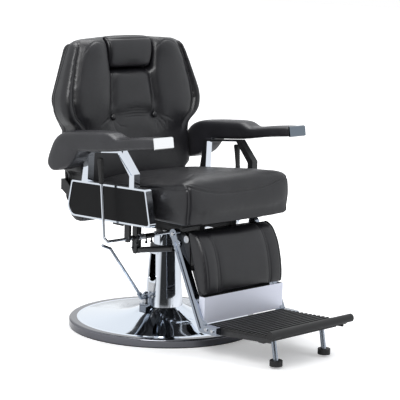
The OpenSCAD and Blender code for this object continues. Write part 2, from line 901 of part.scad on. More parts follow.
module arm_bracket() {
  r0 = [post_rear, side_top(post_rear)];
  r1 = [post_top_rear, rail_top(post_top_rear)];
  r2 = [post_top_rear - post_top_w, rail_top(post_top_rear - post_top_w)];
  r3 = [post_rear - post_rear_w, side_top(post_rear - post_rear_w)];
  f0 = [-post_front, side_top(-post_front)];
  f1 = f0 + [0, knee_up];
  f2 = [-post_top_front, rail_top(-post_top_front)];
  f3 = [-post_top_front + post_front_w, rail_top(-post_top_front + post_front_w)];
  f4 = f0 + [post_front_w, knee_up - post_front_w / 3];
  f5 = [-post_front + post_front_w, side_top(-post_front + post_front_w)];
  r_low = mix(r2, r3, arm_rail_t / (r2.y - r3.y));
  f_low = mix(f3, f4, arm_rail_t / (f3.y - f4.y));
  slot = post_front_w / 5;
  groove = slot * [[2, -1], [2, -3], [3, -3], [3, -1]] + [f1, f2, f2, f1];
  color(chrome_c)
    difference() {
      plate_x(side_in, side_band, [r0, r1, f2, f1, f0, f5, f4, f_low, r_low, r3]);
      plate_x(side_out - slot, slot + cut_over, groove);
    }
}

// The rear post's rear edge, carried on to the height of the pad's lowest point, and the rail's front end
post_foot = post_top_rear + (post_rear - post_top_rear) * (rail_top(post_top_rear) - arm_z)
  / (rail_top(post_top_rear) - side_top(post_rear));
post_top_front_y = -post_top_front;

module arm_pad() {
  color(leather_c)
    difference() {
      loft([for (i = [len(arm_ring_shares) - 1 : -1 : 0]) arm_ring(arm_ring_shares[i])]);
      plate_x(side_in - soft_gap, side_band + 2 * soft_gap, [
        [post_foot + soft_gap, arm_z - cut_over], [post_top_rear + soft_gap, rail_top(post_top_rear)],
        [post_top_front_y, rail_top(post_top_front_y)], [rail_front.x, arm_z - cut_over]
      ]);
    }
}

module arm_cap() {
  lo = arm_at(arm_ring_shares[0][0]);
  hi = arm_at(arm_ring_shares[0][1]);
  out = unit([-(hi - lo).y, (hi - lo).x]) * arm_cap_t;
  back = unit(out) * soft_gap;
  round_r = 3;
  color(chrome_c)
    plate_x(arm_in, arm_w, [lo + back, hi + back, hi + out - unit(hi - lo) * round_r + back,
      hi + out + back - unit(hi - lo) * 2 * round_r, lo + out + back + unit(hi - lo) * round_r]);
}

module side_trim_left() { side_trim(); }
module side_trim_right() { mirror([1, 0, 0]) side_trim(); }
module side_panel_left() { side_panel(); }
module side_panel_right() { mirror([1, 0, 0]) side_panel(); }
module arm_bracket_left() { arm_bracket(); }
module arm_bracket_right() { mirror([1, 0, 0]) arm_bracket(); }
module arm_pad_left() { arm_pad(); }
module arm_pad_right() { mirror([1, 0, 0]) arm_pad(); }
module arm_cap_left() { arm_cap(); }
module arm_cap_right() { mirror([1, 0, 0]) arm_cap(); }

// Hangers under the middle cross bar carry the lever shaft
hanger_x = 228;
hanger_t = 10;
hanger_low = 12;

module shaft_hangers() {
  w = cross_w / 2;
  color(black_c)
    both_sides()
      difference() {
        plate_x(hanger_x - hanger_t / 2, hanger_t, [
          [shaft_at.x - w, cross_z], [shaft_at.x - w, shaft_z], [shaft_at.x - w / 2, shaft_z - hanger_low],
          [shaft_at.x + w / 2, shaft_z - hanger_low], [shaft_at.x + w, shaft_z], [shaft_at.x + w, cross_z]
        ]);
        pin_x(hanger_x - hanger_t, hanger_x + hanger_t, shaft_at, shaft_d / 2 + run_fit);
      }
}

// Return spring: one wire wound round the shaft between a clamp and the sleeve
spring_seat = 4;
sleeve_x_shares = [0.64, 0.47];
spring_turns = 5;
spring_wire = 3;
spring_r = 9;
spring_pitch = 5.2;
spring_ring_n = 8;
spring_sides = 6;
spring_x0 = -hanger_x * sleeve_x_shares[0] - spring_seat - spring_turns * spring_pitch;

function spring_at(t) =
  [spring_x0 + spring_pitch * t, shaft_at.x + spring_r * cos(360 * t), shaft_at.y + spring_r * sin(360 * t)];
function spring_heading(t) =
  unit([spring_pitch, -2 * PI * spring_r * sin(360 * t), 2 * PI * spring_r * cos(360 * t)]);
function spring_ring(c, d, t) =
  let (u = [0, cos(360 * t), sin(360 * t)], v = cross(d, u))
  [for (k = [0 : spring_sides - 1]) c + (u * cos(60 * k) + v * sin(60 * k)) * spring_wire / 2];
spring_ts = [for (i = [0 : spring_turns * spring_ring_n]) i / spring_ring_n];
spring_gap = min([for (i = [0 : spring_ring_n * (spring_turns - 1)])
  norm(spring_at(spring_ts[i]) - spring_at(spring_ts[i + spring_ring_n]))]) - spring_wire;

spring_tail = spring_at(spring_turns) + [spring_wire / 2, 0, 0];

module return_spring() {
  echo(least_gap_of_return_spring = spring_gap);
  color(steel_c)
    loft(concat(
      [spring_ring(spring_at(0) - spring_heading(0) * spring_wire, spring_heading(0), 0)],
      [for (t = spring_ts) spring_ring(spring_at(t), spring_heading(t), t)],
      [for (z = [shaft_z + spring_r, cross_z]) spring_ring([spring_tail.x, spring_tail.y, z], [0, 0, 1], 0)]
    ));
}

// The recline lock lies between a bracket on the frame and the crank on the leg frame
lock_rear = [-lock_rear_front, lock_rear_z];
lock_pin = leg_pivot + polar(lock_crank_len, lock_crank_angle - 90);
lock_dir = unit(lock_pin - lock_rear);
lock_eye_t = 10;
lock_pin_r = 4;
lock_eye_r = 11.5;
lock_open_r = 8.4;
link_eye_t = 10;
crank_dir = polar(crank_len, -90 - crank_angle);
link_rear = back_pivot + crank_dir;
link_front = leg_pivot + crank_dir;
link_pin_r = 5;

module lock_bracket() {
  cheek_t = 6;
  half = lock_eye_t / 2 + slide_fit;
  w = lock_eye_r;
  arm = [
    lock_rear + [-w, 0], lock_rear + [-w / 2, -w], lock_rear + [w / 2, -w], lock_rear + [w, 0],
    [lock_rear.x + w, frame_z + cheek_t], [lock_rear.x - w, frame_z + cheek_t]
  ];
  color(black_c)
    union() {
      plate_x(-lock_side - half - cheek_t, cheek_t, arm);
      plate_x(-lock_side + half, cheek_t, arm);
      translate([-lock_side - half - cheek_t, lock_rear.x - w, frame_z])
        cube([lock_side + half + cheek_t - rail_x - rail_w / 2, 2 * w, cheek_t]);
      pin_x(-lock_side - half - cheek_t / 2, -lock_side + half + cheek_t / 2, lock_rear, lock_pin_r);
    }
}

module lock_cylinder() {
  neck_r = lock_rod_d / 2 + run_fit;
  at = function(s) [-lock_side, lock_rear.x + lock_dir.x * s, lock_rear.y + lock_dir.y * s];
  color(black_c)
    difference() {
      union() {
        bar(at(lock_eye_r / 2), at(lock_eye_r + lock_eye_t), lock_eye_t * 0.48);
        bar(at(lock_eye_r + lock_eye_t / 2), at(lock_len), lock_d / 2);
        pin_x(-lock_side - lock_eye_t / 2, -lock_side + lock_eye_t / 2, lock_rear, lock_eye_r);
        bar(at(lock_len - lock_d / 2), at(lock_len - lock_d / 4), lock_d / 2 + cut_over);
      }
      pin_x(-lock_side - lock_eye_t, -lock_side + lock_eye_t, lock_rear, lock_pin_r + run_fit);
      bar(at(lock_eye_r + lock_d), at(lock_len + cut_over), neck_r);
    }
}

module lock_rod() {
  eye_at = norm(lock_pin - lock_rear);
  inner = lock_eye_r + lock_d + lock_rod_d;
  at = function(s) [-lock_side, lock_rear.x + lock_dir.x * s, lock_rear.y + lock_dir.y * s];
  color(chrome_c)
    difference() {
      union() {
        bar(at(inner), at(eye_at - lock_eye_r + cut_over), lock_rod_d / 2);
        pin_x(-lock_side - lock_eye_t / 2, -lock_side + lock_eye_t / 2, lock_pin, lock_eye_r);
      }
      pin_x(-lock_side - lock_eye_t, -lock_side + lock_eye_t, lock_pin, lock_open_r);
    }
}

// Coupling link: it keeps its direction, because both cranks are alike
module coupling_link() {
  at = function(p) [link_side, p.x, p.y];
  eye_r = 2 * link_pin_r;
  along = unit(link_front - link_rear) * (eye_r - cut_over);
  color(steel_c)
    difference() {
      union() {
        bar(at(link_rear + along), at(link_front - along), link_d / 2);
        for (p = [link_rear, link_front])
          pin_x(link_side - link_eye_t / 2, link_side + link_eye_t / 2, p, eye_r);
      }
      pin_x(link_side - link_eye_t, link_side + link_eye_t, link_rear, link_pin_r + run_fit);
      pin_x(link_side - link_eye_t, link_side + link_eye_t, link_front, link_pin_r + slide_fit);
    }
}

// Fixed pins of the leg rest and the back
module pivot_pins() {
  head_t = 5;
  plate_in = side_in - back_gap + cut_over;
  color(steel_c)
    both_sides() {
      pin_x(leg_lug_x - leg_lug_t, leg_inner + slide_fit, leg_pivot, leg_pin_d / 2);
      pin_x(leg_inner + slide_fit, leg_inner + slide_fit + head_t, leg_pivot, leg_pin_d / 2 + head_t);
      pin_x(plate_in, side_in, back_pivot, back_pin_d / 2);
    }
}

module frame_bolts() {
  head_r = 6;
  head_h = 4;
  color(steel_c)
    both_sides()
      for (y = [-shaft_front - cross_w * 0.7, -shaft_front + cross_w * 0.7, cross_rear - cross_w * 0.7,
          cross_rear + cross_w * 0.7])
        pin_x(side_in - bracket_t - head_h, side_in - bracket_t, [y, cross_z + bracket_h * 0.7], head_r);
}

// Recline lever: a cross shaft bent up at both ends
lever_bend_r = 14;
grip_lean_dir = [sin(grip_lean), cos(grip_lean)];

// Middle of the lever rod at a share of the grip's length
function grip_at(share) = shaft_at + grip_lean_dir * (grip_z - shaft_z + grip_len * share) / grip_lean_dir.y;

module recline_shaft() {
  r = shaft_d / 2;
  knuckle_r = r * 1.1;
  foot = concat(grip_side - lever_bend_r, shaft_at);
  turn = concat(grip_side, shaft_at + grip_lean_dir * lever_bend_r);
  top = grip_at(0.5);
  color(chrome_c)
    union() {
      pin_x(-foot.x, foot.x, shaft_at, r);
      both_sides() {
        translate(foot)
          sphere(r = knuckle_r);
        bar(foot, turn, r);
        translate(turn)
          sphere(r = knuckle_r);
        bar(turn, concat(grip_side, top), r);
      }
    }
}

grip_ring_shares = [
  [0, 0.62, 0.8], [0.06, 0.78, 1], [0.3, 0.85, 1], [0.7, 1.1, 1.05], [0.92, 1.25, 1.1], [1, 1.0, 0.85]
];
grip_half = 9;

module lever_grip() {
  n = 20;
  color(rubber_c)
    difference() {
      loft([
        for (row = grip_ring_shares)
          let (c = grip_at(row[0]))
          [
            for (i = [0 : n - 1])
              let (a = 360 * i / n)
              [grip_side + grip_half * 0.75 * row[2] * cos(a), c.x + grip_half * row[1] * sin(a), c.y]
          ]
      ]);
      bar(concat(grip_side, shaft_at), concat(grip_side, grip_at(0.5)), shaft_d / 2);
    }
}

module lever_grip_left() { lever_grip(); }
module lever_grip_right() { mirror([1, 0, 0]) lever_grip(); }

// Release arms on the shaft: two clamps and a sleeve with short studs that end in balls
release_len = 39;
clamp_pitch = 20;
clamp_x = spring_x0 - 2 * spring_seat;
stud_x_shares = [0.614, 0.504];
release_xs = concat([clamp_x - clamp_pitch, clamp_x], [for (q = stud_x_shares) -hanger_x * q]);
release_len_shares = [1, 0.69, 0.69, 0.69];

module release_arms() {
  clamp_r = 9;
  clamp_t = 8;
  ball_r = 5;
  rod_r = 2.5;
  color(black_c)
    difference() {
      union() {
        for (i = [0 : 1])
          pin_x(release_xs[i] - clamp_t / 2, release_xs[i] + clamp_t / 2, shaft_at, clamp_r);
        pin_x(-hanger_x * sleeve_x_shares[0], -hanger_x * sleeve_x_shares[1], shaft_at, clamp_r);
        for (i = [0 : len(release_xs) - 1])
          let (x = release_xs[i], low = shaft_at.y - release_len * release_len_shares[i] + ball_r) {
            bar([x, shaft_at.x, shaft_at.y - clamp_r / 2], [x, shaft_at.x, low], rod_r);
            translate([x, shaft_at.x, low])
              sphere(r = ball_r);
          }
      }
      pin_x(-side_in, 0, shaft_at, shaft_d / 2);
    }
}

// Backrest: level rings from the foot to the top, as shares of height, half width and depth.
// The third and fourth of each row are the front and the rear of the ring, measured from the flat rear.
// The fifth is 1 where the ring passes the notch for the headrest.
back_ring_shares = [
  [0.000, 0.932, 0.55, 0.25, 0], [0.012, 0.966, 0.59, 0.19, 0], [0.036, 0.993, 0.62, 0.12, 0],
  [0.07, 1, 0.704, 0.08, 0], [0.1, 1, 0.859, 0.05, 0], [0.12, 1, 0.958, 0.03, 0], [0.15, 1, 1.00, 0.01, 0],
  [0.19, 1, 0.96, 0, 0], [0.252, 1.003, 0.915, 0, 0], [0.275, 0.964, 0.90, 0, 0], [0.295, 0.995, 0.885, 0, 0],
  [0.38, 1, 0.825, 0, 0], [0.49, 1.006, 0.755, 0, 0], [0.516, 1.018, 0.74, 0, 0], [0.545, 0.915, 0.72, 0, 0],
  [0.568, 0.95, 0.705, 0, 0], [0.6, 0.985, 0.685, 0, 0], [0.65, 1.0, 0.655, 0, 0], [0.70, 0.99, 0.62, 0, 0],
  [0.75, 0.958, 0.585, 0, 0], [0.80, 0.925, 0.55, 0, 0], [0.8245, 0.908, 0.538, 0, 0],
  [0.8255, 0.907, 0.537, 0, 1], [0.88, 0.868, 0.50, 0, 1], [0.93, 0.83, 0.465, 0, 1],
  [0.965, 0.80, 0.43, 0.02, 1], [0.988, 0.765, 0.36, 0.08, 1], [1.000, 0.725, 0.28, 0.16, 1]
];
back_low_half = side_in - back_gap;
arm_pad_gap = 4.5;
back_mid_half = arm_in - arm_pad_gap;
back_low_share = 0.26;
back_mid_share = 0.53;

// Half width of the backrest: between the side frames at its foot, then between the arm pads, then free
function back_half_w(row) =
  row[1] * (row[0] < back_low_share ? back_low_half : row[0] < back_mid_share ? back_mid_half : back_w / 2);
// Places across the front: sizes near the channels, then shares of the rest out to the side
channel_w = 13;
channel_depth = 11;
notch_col = 4;
back_xs = [0, button_side / 2, for (k = [-2, -1, 0, 1, 2, 4.5]) button_side + k * channel_w];
back_edge_shares = [0.3, 0.55, 0.75, 0.9, 0.98];
back_edge_r = 26;
back_side_shares = [0.6, 0.35, 0.12];
back_rear_share = 0.97;
button_share = 0.568;
tuft_r = 34;
shoulder_h = 10;
seam_side_share = 0.86;
web_t = 3;
web_top_share = 0.94;
web_step = 0.03;
head_z = back_z + back_h * 0.827;
head_gap = 1.5;

function smooth(t) = let (c = min(max(t, 0), 1)) c * c * (3 - 2 * c);

// Half width of the notch at height z
function notch_half(z) = mix(head_low_w, head_w, (z - head_z) / head_h) / 2 + head_gap;

// One half of a ring, from the middle of the front to the middle of the rear, as [x, depth, z]
function back_half(row) =
  let (
    z = back_z + back_h * row[0],
    w = back_half_w(row),
    front = back_depth * row[2],
    rear = back_depth * row[3],
    in_notch = row[4] == 1,
    web_z = back_z + back_h * min(row[0], web_top_share) + web_step * max(0, row[0] - web_top_share) * back_h,
    nx = notch_half(web_z),
    wing = wing_depth * smooth((row[0] - 0.45) / 0.15),
    over = row[0] < button_share || in_notch ? 0 : smooth((row[0] - button_share + 0.01) / 0.04),
    drop = shoulder_h * pow(row[0], 6),
    inner = [for (i = [0 : len(back_xs) - 1]) in_notch && i == notch_col ? nx - slide_fit
      : in_notch && i == notch_col + 1 ? notch_half(z) + slide_fit : back_xs[i]],
    x_end = back_xs[len(back_xs) - 1],
    xs = concat(inner, [for (t = back_edge_shares) mix(x_end, w, t)]),
    round_in = min(back_edge_r, (front - rear) / 2)
  )
  concat(
    [
      for (i = [0 : len(xs) - 1])
        let (
          x = xs[i],
          s = x / w,
          e = max(0, (x - w + round_in) / round_in),
          groove = channel_depth * over * (1 - smooth((abs(x - button_side) - channel_w / 4) / channel_w)),
          panel = channel_depth / 2 * over * smooth((button_side - x) / channel_w),
          tuft = channel_depth * 1.3 * exp(-(pow(x - button_side, 2)
            + pow(z - back_z - back_h * button_share, 2)) / pow(tuft_r, 2)),
          bolster = wing * 0.45 * smooth((x - button_side) / (w - button_side) * 2),
          rise = bolster + wing * 0.55 * pow(s, 5),
          seam = channel_depth / 2 * (wing / wing_depth) * (1 - smooth(abs(s - seam_side_share) / 0.05))
        )
        in_notch && i <= notch_col ? [x, web_t, web_z]
        : [x, front + rise - groove - panel - tuft - seam - round_in * (1 - sqrt(1 - e * e)),
          z - drop * pow(s, 3)]
    ],
    [for (t = back_side_shares) [w, mix(rear, front - round_in / 2, t), z - drop]],
    [[w * back_rear_share, rear, z - drop], [x_end, rear, z - drop * pow(x_end / w, 3)]],
    [[xs[notch_col + 1], rear, z], [xs[notch_col], in_notch ? 0 : rear, in_notch ? web_z : z]],
    [[0, in_notch ? 0 : rear, in_notch ? web_z : z]]
  );

function back_ring(row) =
  let (half = back_half(row), n = len(half))
  concat(
    [for (p = half) [p.x, back_rear - p.y, p.z]],
    [for (i = [n - 2 : -1 : 1]) [-half[i].x, back_rear - half[i].y, half[i].z]]
  );

// Triangles between the front and the rear of an end ring: for each front point, its rear point
back_pairs = [20, 20, 20, 20, 19, 18, 18, 17, 17, 16, 16, 16, 16];
back_lid_half = concat(
  [
    for (i = [0 : len(back_pairs) - 2])
      let (c = back_pairs[i + 1], d = back_pairs[i])
      each c == d ? [[i, i + 1, c]] : [[i, i + 1, c], [i, c, d]]
  ],
  [[12, 13, 14], [12, 14, 15], [12, 15, 16]]
);
function other_side(k) = k == 0 || k == 20 ? k : 40 - k;

module back_cushion() {
  mirrored = [for (t = back_lid_half) [other_side(t[0]), other_side(t[2]), other_side(t[1])]];
  color(leather_c)
    loft([for (row = back_ring_shares) back_ring(row)], concat(back_lid_half, mirrored));
}

button_z = back_z + back_h * button_share;
button_depth_share = 0.705;
button_y = back_rear - back_depth * button_depth_share + channel_depth;

module back_buttons() {
  button_t = 6;
  color(leather_c)
    both_sides()
      translate([button_side, button_y - soft_gap, button_z])
        rotate([90, 0, 0])
          intersection() {
            cylinder(h = button_t, r = button_d / 2);
            translate([0, 0, button_t - button_d])
              sphere(r = button_d);
          }
}

bar_w = 50;
bar_t = 5.4;
bar_z = head_z - head_travel - bar_w;
plate_pocket = 6;
cross_plate_up = 44;
cross_plate_z = back_pivot_z + cross_plate_up;
cross_plate_h = 40;

module back_board() {
  edge = 22;
  shares = [[0.09, 1], [0.48, 0.964], [0.56, 0.90], [0.66, 0.97], [0.955, 0.79]];
  side = [for (q = shares) [back_half_w(q) - edge, back_z + back_h * q[0]]];
  outline = concat(side, [for (i = [len(side) - 1 : -1 : 0]) [-side[i].x, side[i].y]]);
  round_r = 30;
  radii = round_r * [1, 2, 2, 2, 1];
  color(black_c)
    difference() {
      translate([0, back_rear + back_board_t, 0])
        rotate([90, 0, 0])
          linear_extrude(back_board_t)
            polygon(rounded(outline, concat(radii, [for (i = [len(radii) - 1 : -1 : 0]) radii[i]])));
      translate([-bar_w / 2 - slide_fit, back_rear - cut_over, bar_z - head_gap])
        cube([bar_w + 2 * slide_fit, bar_t + 2 * slide_fit + cut_over, back_h]);
      translate([-back_w, back_rear - cut_over, cross_plate_z])
        cube([2 * back_w, plate_pocket + cut_over, cross_plate_h]);
    }
}

// Steel U behind the back board, with a plate to each pivot and the crank for the link
module back_frame() {
  plate_t = 6;
  plate_x0 = side_in - back_gap + 2 * plate_t / 3 - cut_over;
  pad = back_pin_d;
  z1 = cross_plate_z + cross_plate_h;
  wide = plate_x0 + plate_t;
  crank_r = pad / 2 + plate_t / 2;
  collar_half = link_eye_t / 2 - slide_fit;
  side = [
    [back_pivot.x, back_pivot.y - pad], [back_rear, cross_plate_z], [back_rear + plate_t, cross_plate_z],
    [back_rear + plate_t, z1], [back_rear - pad, z1], [back_pivot.x, back_pivot.y + pad]
  ];
  n = unit([back_pivot.y - link_rear.y, link_rear.x - back_pivot.x]);
  crank = [back_pivot + n * pad, back_pivot - n * pad, link_rear - n * crank_r, link_rear + n * crank_r];
  color(black_c)
    difference() {
      union() {
        both_sides() {
          plate_x(plate_x0, plate_t, side);
          plate_x(plate_x0, plate_t, crank);
          pin_x(plate_x0, wide, back_pivot, pad);
          pin_x(plate_x0, wide, link_rear, crank_r);
        }
        translate([-wide, back_rear, cross_plate_z])
          cube([2 * wide, plate_t, cross_plate_h]);
        pin_x(-plate_x0 - cut_over, plate_x0 + cut_over, link_rear, link_pin_r);
        for (x = [link_side - link_eye_t, link_side + link_eye_t])
          pin_x(x - collar_half, x + collar_half, link_rear, link_pin_r + plate_t / 2);
      }
      both_sides()
        pin_x(plate_x0 - cut_over, wide + cut_over, back_pivot, back_pin_d / 2 + run_fit);
    }
}

// Headrest
head_rear = back_rear - web_t - soft_gap;
head_tab_z = back_z + back_h * web_top_share + 4 * web_t;

module headrest_pad() {
  ring_shares = [
    [0, 0.90, 0.55, 0.1], [0.03, 0.965, 0.75, 0.03], [0.1, 1, 0.93, 0], [0.3, 1, 1.02, 0], [0.5, 1, 1.05, 0],
    [0.7, 1, 1.0, 0], [0.85, 1, 0.88, 0], [0.95, 0.975, 0.74, 0.03], [1, 0.92, 0.55, 0.12]
  ];
  n = 32;
  color(leather_c)
    loft([
      for (row = ring_shares)
        let (w = mix(head_low_w, head_w, row[0]) / 2 * row[1] - soft_gap)
        [
          for (i = [0 : n - 1])
            let (
              a = 360 * (i + 0.5) / n,
              h = (1 - power(sin(a), 0.35)) / 2,
              d = mix(row[3], row[2], h) * head_depth
            )
            [w * power(cos(a), 0.35), head_rear - d, head_z + head_h * row[0]]
        ]
    ]);
}

module headrest_bar() {
  top = head_z + head_h * 0.93;
  color(steel_c)
    union() {
      translate([-bar_w / 2, back_rear + slide_fit, bar_z])
        cube([bar_w, bar_t, top - bar_z]);
      translate([-bar_w / 2, head_rear, head_tab_z])
        cube([bar_w, back_rear + slide_fit + bar_t - head_rear, top - head_tab_z]);
    }
}

// Leg rest
knee = [-knee_front, knee_z];
foot_end = knee - [leg_foot_len, 0];
calf_lean = 0.279;
calf_back = 10;
function calf_face(z) = calf_back - kick_front + (z - kick_z) * calf_lean;

module arm_strip(w) {
  for (seg = [[leg_head, knee], [knee, foot_end]]) {
    d = unit(seg[1] - seg[0]);
    n = [-d.y, d.x] * w / 2;
    polygon([seg[0] + n, seg[1] + n, seg[1] - n, seg[0] - n]);
  }
  translate(knee)
    circle(r = w / 2);
}

module leg_arm() {
  groove_w = leg_arm_w / 3;
  groove_t = 3;
  color(chrome_c)
    difference() {
      translate([leg_inner, 0, 0])
        rotate([90, 0, 90]) {
          linear_extrude(leg_arm_t)
            arm_strip(leg_arm_w);
          translate(leg_head)
            cylinder(h = leg_arm_t, r = leg_arm_w * 0.62);
        }
      translate([leg_side - groove_t, 0, 0])
        rotate([90, 0, 90])
          linear_extrude(groove_t + cut_over)
            difference() {
              arm_strip(groove_w);
              translate(leg_head)
                circle(r = leg_arm_w);
              translate(foot_end - [cut_over, leg_arm_w])
                square([leg_foot_len, 2 * leg_arm_w]);
            }
    }
}

module leg_arm_left() { leg_arm(); }
module leg_arm_right() { mirror([1, 0, 0]) leg_arm(); }

leg_rib_t = 6;
leg_tube_d = 18;
upper_tube_share = 0.381;
lower_tube_share = 0.925;
leg_rib_x = link_side + link_d / 2 + 2 * slide_fit;
calf_board_up = 22;
calf_board_drop = 16;
calf_board_gap = 21;
calf_board_z0 = kick_z + calf_board_up;
calf_board_z1 = calf_z + calf_h - calf_board_drop;

// Cross tubes between the leg arms, plates to the leg pivots, and two ribs with the crank pins
module leg_frame() {
  a = mix(leg_head, knee, upper_tube_share);
  b = mix(leg_head, knee, lower_tube_share);
  r = leg_tube_d / 2;
  eye_r = leg_lug_r + cut_over;
  rear = function(z) [calf_face(z) + calf_board_t, z];
  rib = function(p) [
    rear(p.y + r), p + [r / 2, r], p + [r, 0], a + [r * 0.8, 0], b + [r * 1.6, 0], b - [0, r / 2],
    b + [r / 2, r * 0.7], rear(calf_board_z0)
  ];
  plate = [
    leg_pivot + [0, eye_r], leg_head + [0, eye_r], leg_head + [eye_r * 0.8, 0], a + [r * 0.9, 0],
    a - [r * 0.9, 0], leg_pivot - [eye_r, 0]
  ];
  color(black_c)
    difference() {
      union() {
        for (p = [a, b])
          pin_x(-leg_inner, leg_inner, p, r);
        both_sides() {
          plate_x(leg_inner - leg_plate_t, leg_plate_t, plate);
          pin_x(leg_inner - leg_plate_t, leg_inner, leg_pivot, eye_r);
        }
        plate_x(-leg_rib_x - leg_rib_t, leg_rib_t, rib(lock_pin));
        plate_x(leg_rib_x, leg_rib_t, rib(link_front));
        pin_x(-leg_rib_x - cut_over, -leg_rib_x + lock_eye_t + leg_rib_t, lock_pin, lock_pin_r);
        pin_x(leg_rib_x - link_eye_t - leg_rib_t, leg_rib_x + cut_over, link_front, link_pin_r);
      }
      both_sides()
        pin_x(leg_inner - leg_plate_t - cut_over, leg_inner + cut_over, leg_pivot, leg_pin_d / 2 + run_fit);
    }
}

module calf_board() {
  half = leg_inner - calf_board_gap;
  z0 = calf_board_z0;
  z1 = calf_board_z1;
  color(wood_c)
    plate_x(-half, 2 * half, [
      [calf_face(z0), z0], [calf_face(z1), z1], [calf_face(z1) + calf_board_t, z1],
      [calf_face(z0) + calf_board_t, z0]
    ]);
}

// Calf pad: side-view rings from left to right, with a piped seam near each end
calf_end_shares = [
  [0, 0.86], [0.02, 0.94], [0.05, 0.985], [0.085, 1.0], [0.108, 0.97], [0.13, 1.01], [0.25, 1.02],
  [0.38, 1.025]
];
calf_profile_shares = [
  [0.90, 0.003], [1.0, 0.03], [1.04, 0.1], [1.02, 0.2], [0.946, 0.336], [0.872, 0.458], [0.785, 0.58],
  [0.71, 0.682], [0.617, 0.766], [0.52, 0.85], [0.42, 0.91], [0.30, 0.955], [0.14, 0.985], [0.0, 1.0],
  [-0.12, 0.995]
];

module calf_pad() {
  half = [for (e = calf_end_shares) [e[0] * calf_w - calf_w / 2, e[1]]];
  rows = concat(half, [[0, 1.03]], [for (i = [len(half) - 1 : -1 : 0]) [-half[i][0], half[i][1]]]);
  outline = function(k) concat(
    [for (s = [0.935, 0.62, 0.31, 0]) [calf_face(calf_z + calf_h * s) - soft_gap, calf_z + calf_h * s]],
    [
      for (q = calf_profile_shares)
        let (z = calf_z + calf_h * q.y, base = calf_face(min(z, calf_board_z1)))
        [mix(base, -kick_front, q.x * (q.x > 0.3 ? k : 1)), z]
    ]
  );
  color(leather_c)
    loft([for (q = rows) [for (p = outline(q[1])) [-q[0], p.x, p.y]]]);
}

// Kick plate: a sheet with returned sides
module kick_plate() {
  fold_w = 26;
  top = calf_z - soft_gap;
  color(chrome_c)
    difference() {
      union() {
        translate([-calf_w / 2, -kick_front, kick_z])
          cube([calf_w, kick_t, top - kick_z]);
        both_sides()
          translate([calf_w / 2 - kick_t, -kick_front, kick_z])
            cube([kick_t, fold_w, top - kick_z]);
        translate([-calf_w / 2, -kick_front, kick_z])
          cube([calf_w, fold_w / 4, kick_t]);
      }
      both_sides()
        translate([leg_inner - slide_fit, 0, 0])
          rotate([90, 0, 90])
            linear_extrude(leg_arm_t)
              arm_strip(leg_arm_w + 2 * slide_fit);
    }
}

// Footrest
tread_gap = 2;
tread_fit = 1;
tread_half = leg_inner - tread_fit;
tread_rear = kick_front + tread_gap;
tread_slope = (nose_z - nose_d / 2 + tread_t / 2 - tread_z) / (nose_front - tread_rear);
function tread_at(y) = tread_z + (-y - tread_rear) * tread_slope;
stub_front = 645;
stub_lean = 14;

// Height of the underside of a cross bar of the tread frame at y
tread_bar_h = 12;
tread_bar_w = 24;
tread_bar_drop = 4;
function bar_low(y) = tread_at(y + tread_bar_w / 2) - tread_t - tread_bar_drop - tread_bar_h;

module tread_frame() {
  wall_t = 5;
  wall_h = 20;
  y0 = -tread_rear;
  y1 = -nose_front + nose_d / 2;
  wall = [
    [y0, tread_at(y0) - tread_t], [y1, tread_at(y1) - tread_t],
    [y1, tread_at(y1) - tread_t - wall_h * 0.6], [y0, tread_at(y0) - tread_t - wall_h]
  ];
  color(black_c)
    union() {
      both_sides()
        plate_x(leg_inner - wall_t, wall_t, wall);
      for (y = [-tread_rear - tread_bar_w, -stub_front])
        plate_x(cut_over - leg_inner, 2 * leg_inner - 2 * cut_over, [
          [y - tread_bar_w / 2, bar_low(y)], [y + tread_bar_w / 2, bar_low(y)],
          [y + tread_bar_w / 2, tread_at(y + tread_bar_w / 2) - tread_t],
          [y - tread_bar_w / 2, tread_at(y - tread_bar_w / 2) - tread_t]
        ]);
    }
}

module tread_mat() {
  y0 = -tread_rear;
  y1 = -nose_front;
  pitch = (nose_front - nose_d / 2 - tread_rear) / rib_count;
  rib_w_share = 0.45;
  comb = [
    for (i = [0 : rib_count - 1])
      let (a = y0 - pitch * (i + 0.2), b = a - pitch * rib_w_share)
      each [[a, tread_at(a)], [a, tread_at(a) + rib_h], [b, tread_at(b) + rib_h], [b, tread_at(b)]]
  ];
  color(rubber_c)
    union() {
      plate_x(-tread_half, 2 * tread_half, concat([[y0, tread_at(y0) - tread_t], [y0, tread_at(y0)]],
        comb, [[y1, tread_at(y1)], [y1, tread_at(y1) - tread_t]]));
      pin_x(-nose_w / 2, nose_w / 2, [-nose_front, nose_z], nose_d / 2);
    }
}

// A stub leg: a leaning tube with level ends, one in the rubber foot and one under the tread's front bar
stub_low = rubber_z + rubber_h / 2;
stub_top = bar_low(-stub_front);

module stub_leg() {
  lean = [0, stub_lean, stub_top - stub_low];
  foot = [stub_side, -stub_front - stub_lean, stub_low];
  intersection() {
    bar(foot - unit(lean) * stub_d, foot + lean + unit(lean) * stub_d, stub_d / 2);
    translate([0, -nose_front, stub_low])
      cube([leg_side, nose_front, stub_top - stub_low]);
  }
}

module footrest_legs() {
  color(chrome_c)
    both_sides()
      stub_leg();
}

module rubber_feet() {
  color(rubber_c)
    both_sides()
      difference() {
        translate([stub_side, -stub_front - stub_lean, rubber_z])
          cylinder(h = rubber_h, r = rubber_d / 2);
        stub_leg();
      }
}

module leg_bolts() {
  bolt_shares = [0.35, 0.75];
  head_r = 6;
  head_h = 4;
  color(steel_c)
    both_sides()
      for (s = bolt_shares)
        pin_x(leg_side, leg_side + head_h, mix(knee, foot_end, s), head_r);
  color(steel_c)
    both_sides()
      pin_x(leg_side, leg_side + head_h, leg_head, head_r);
}

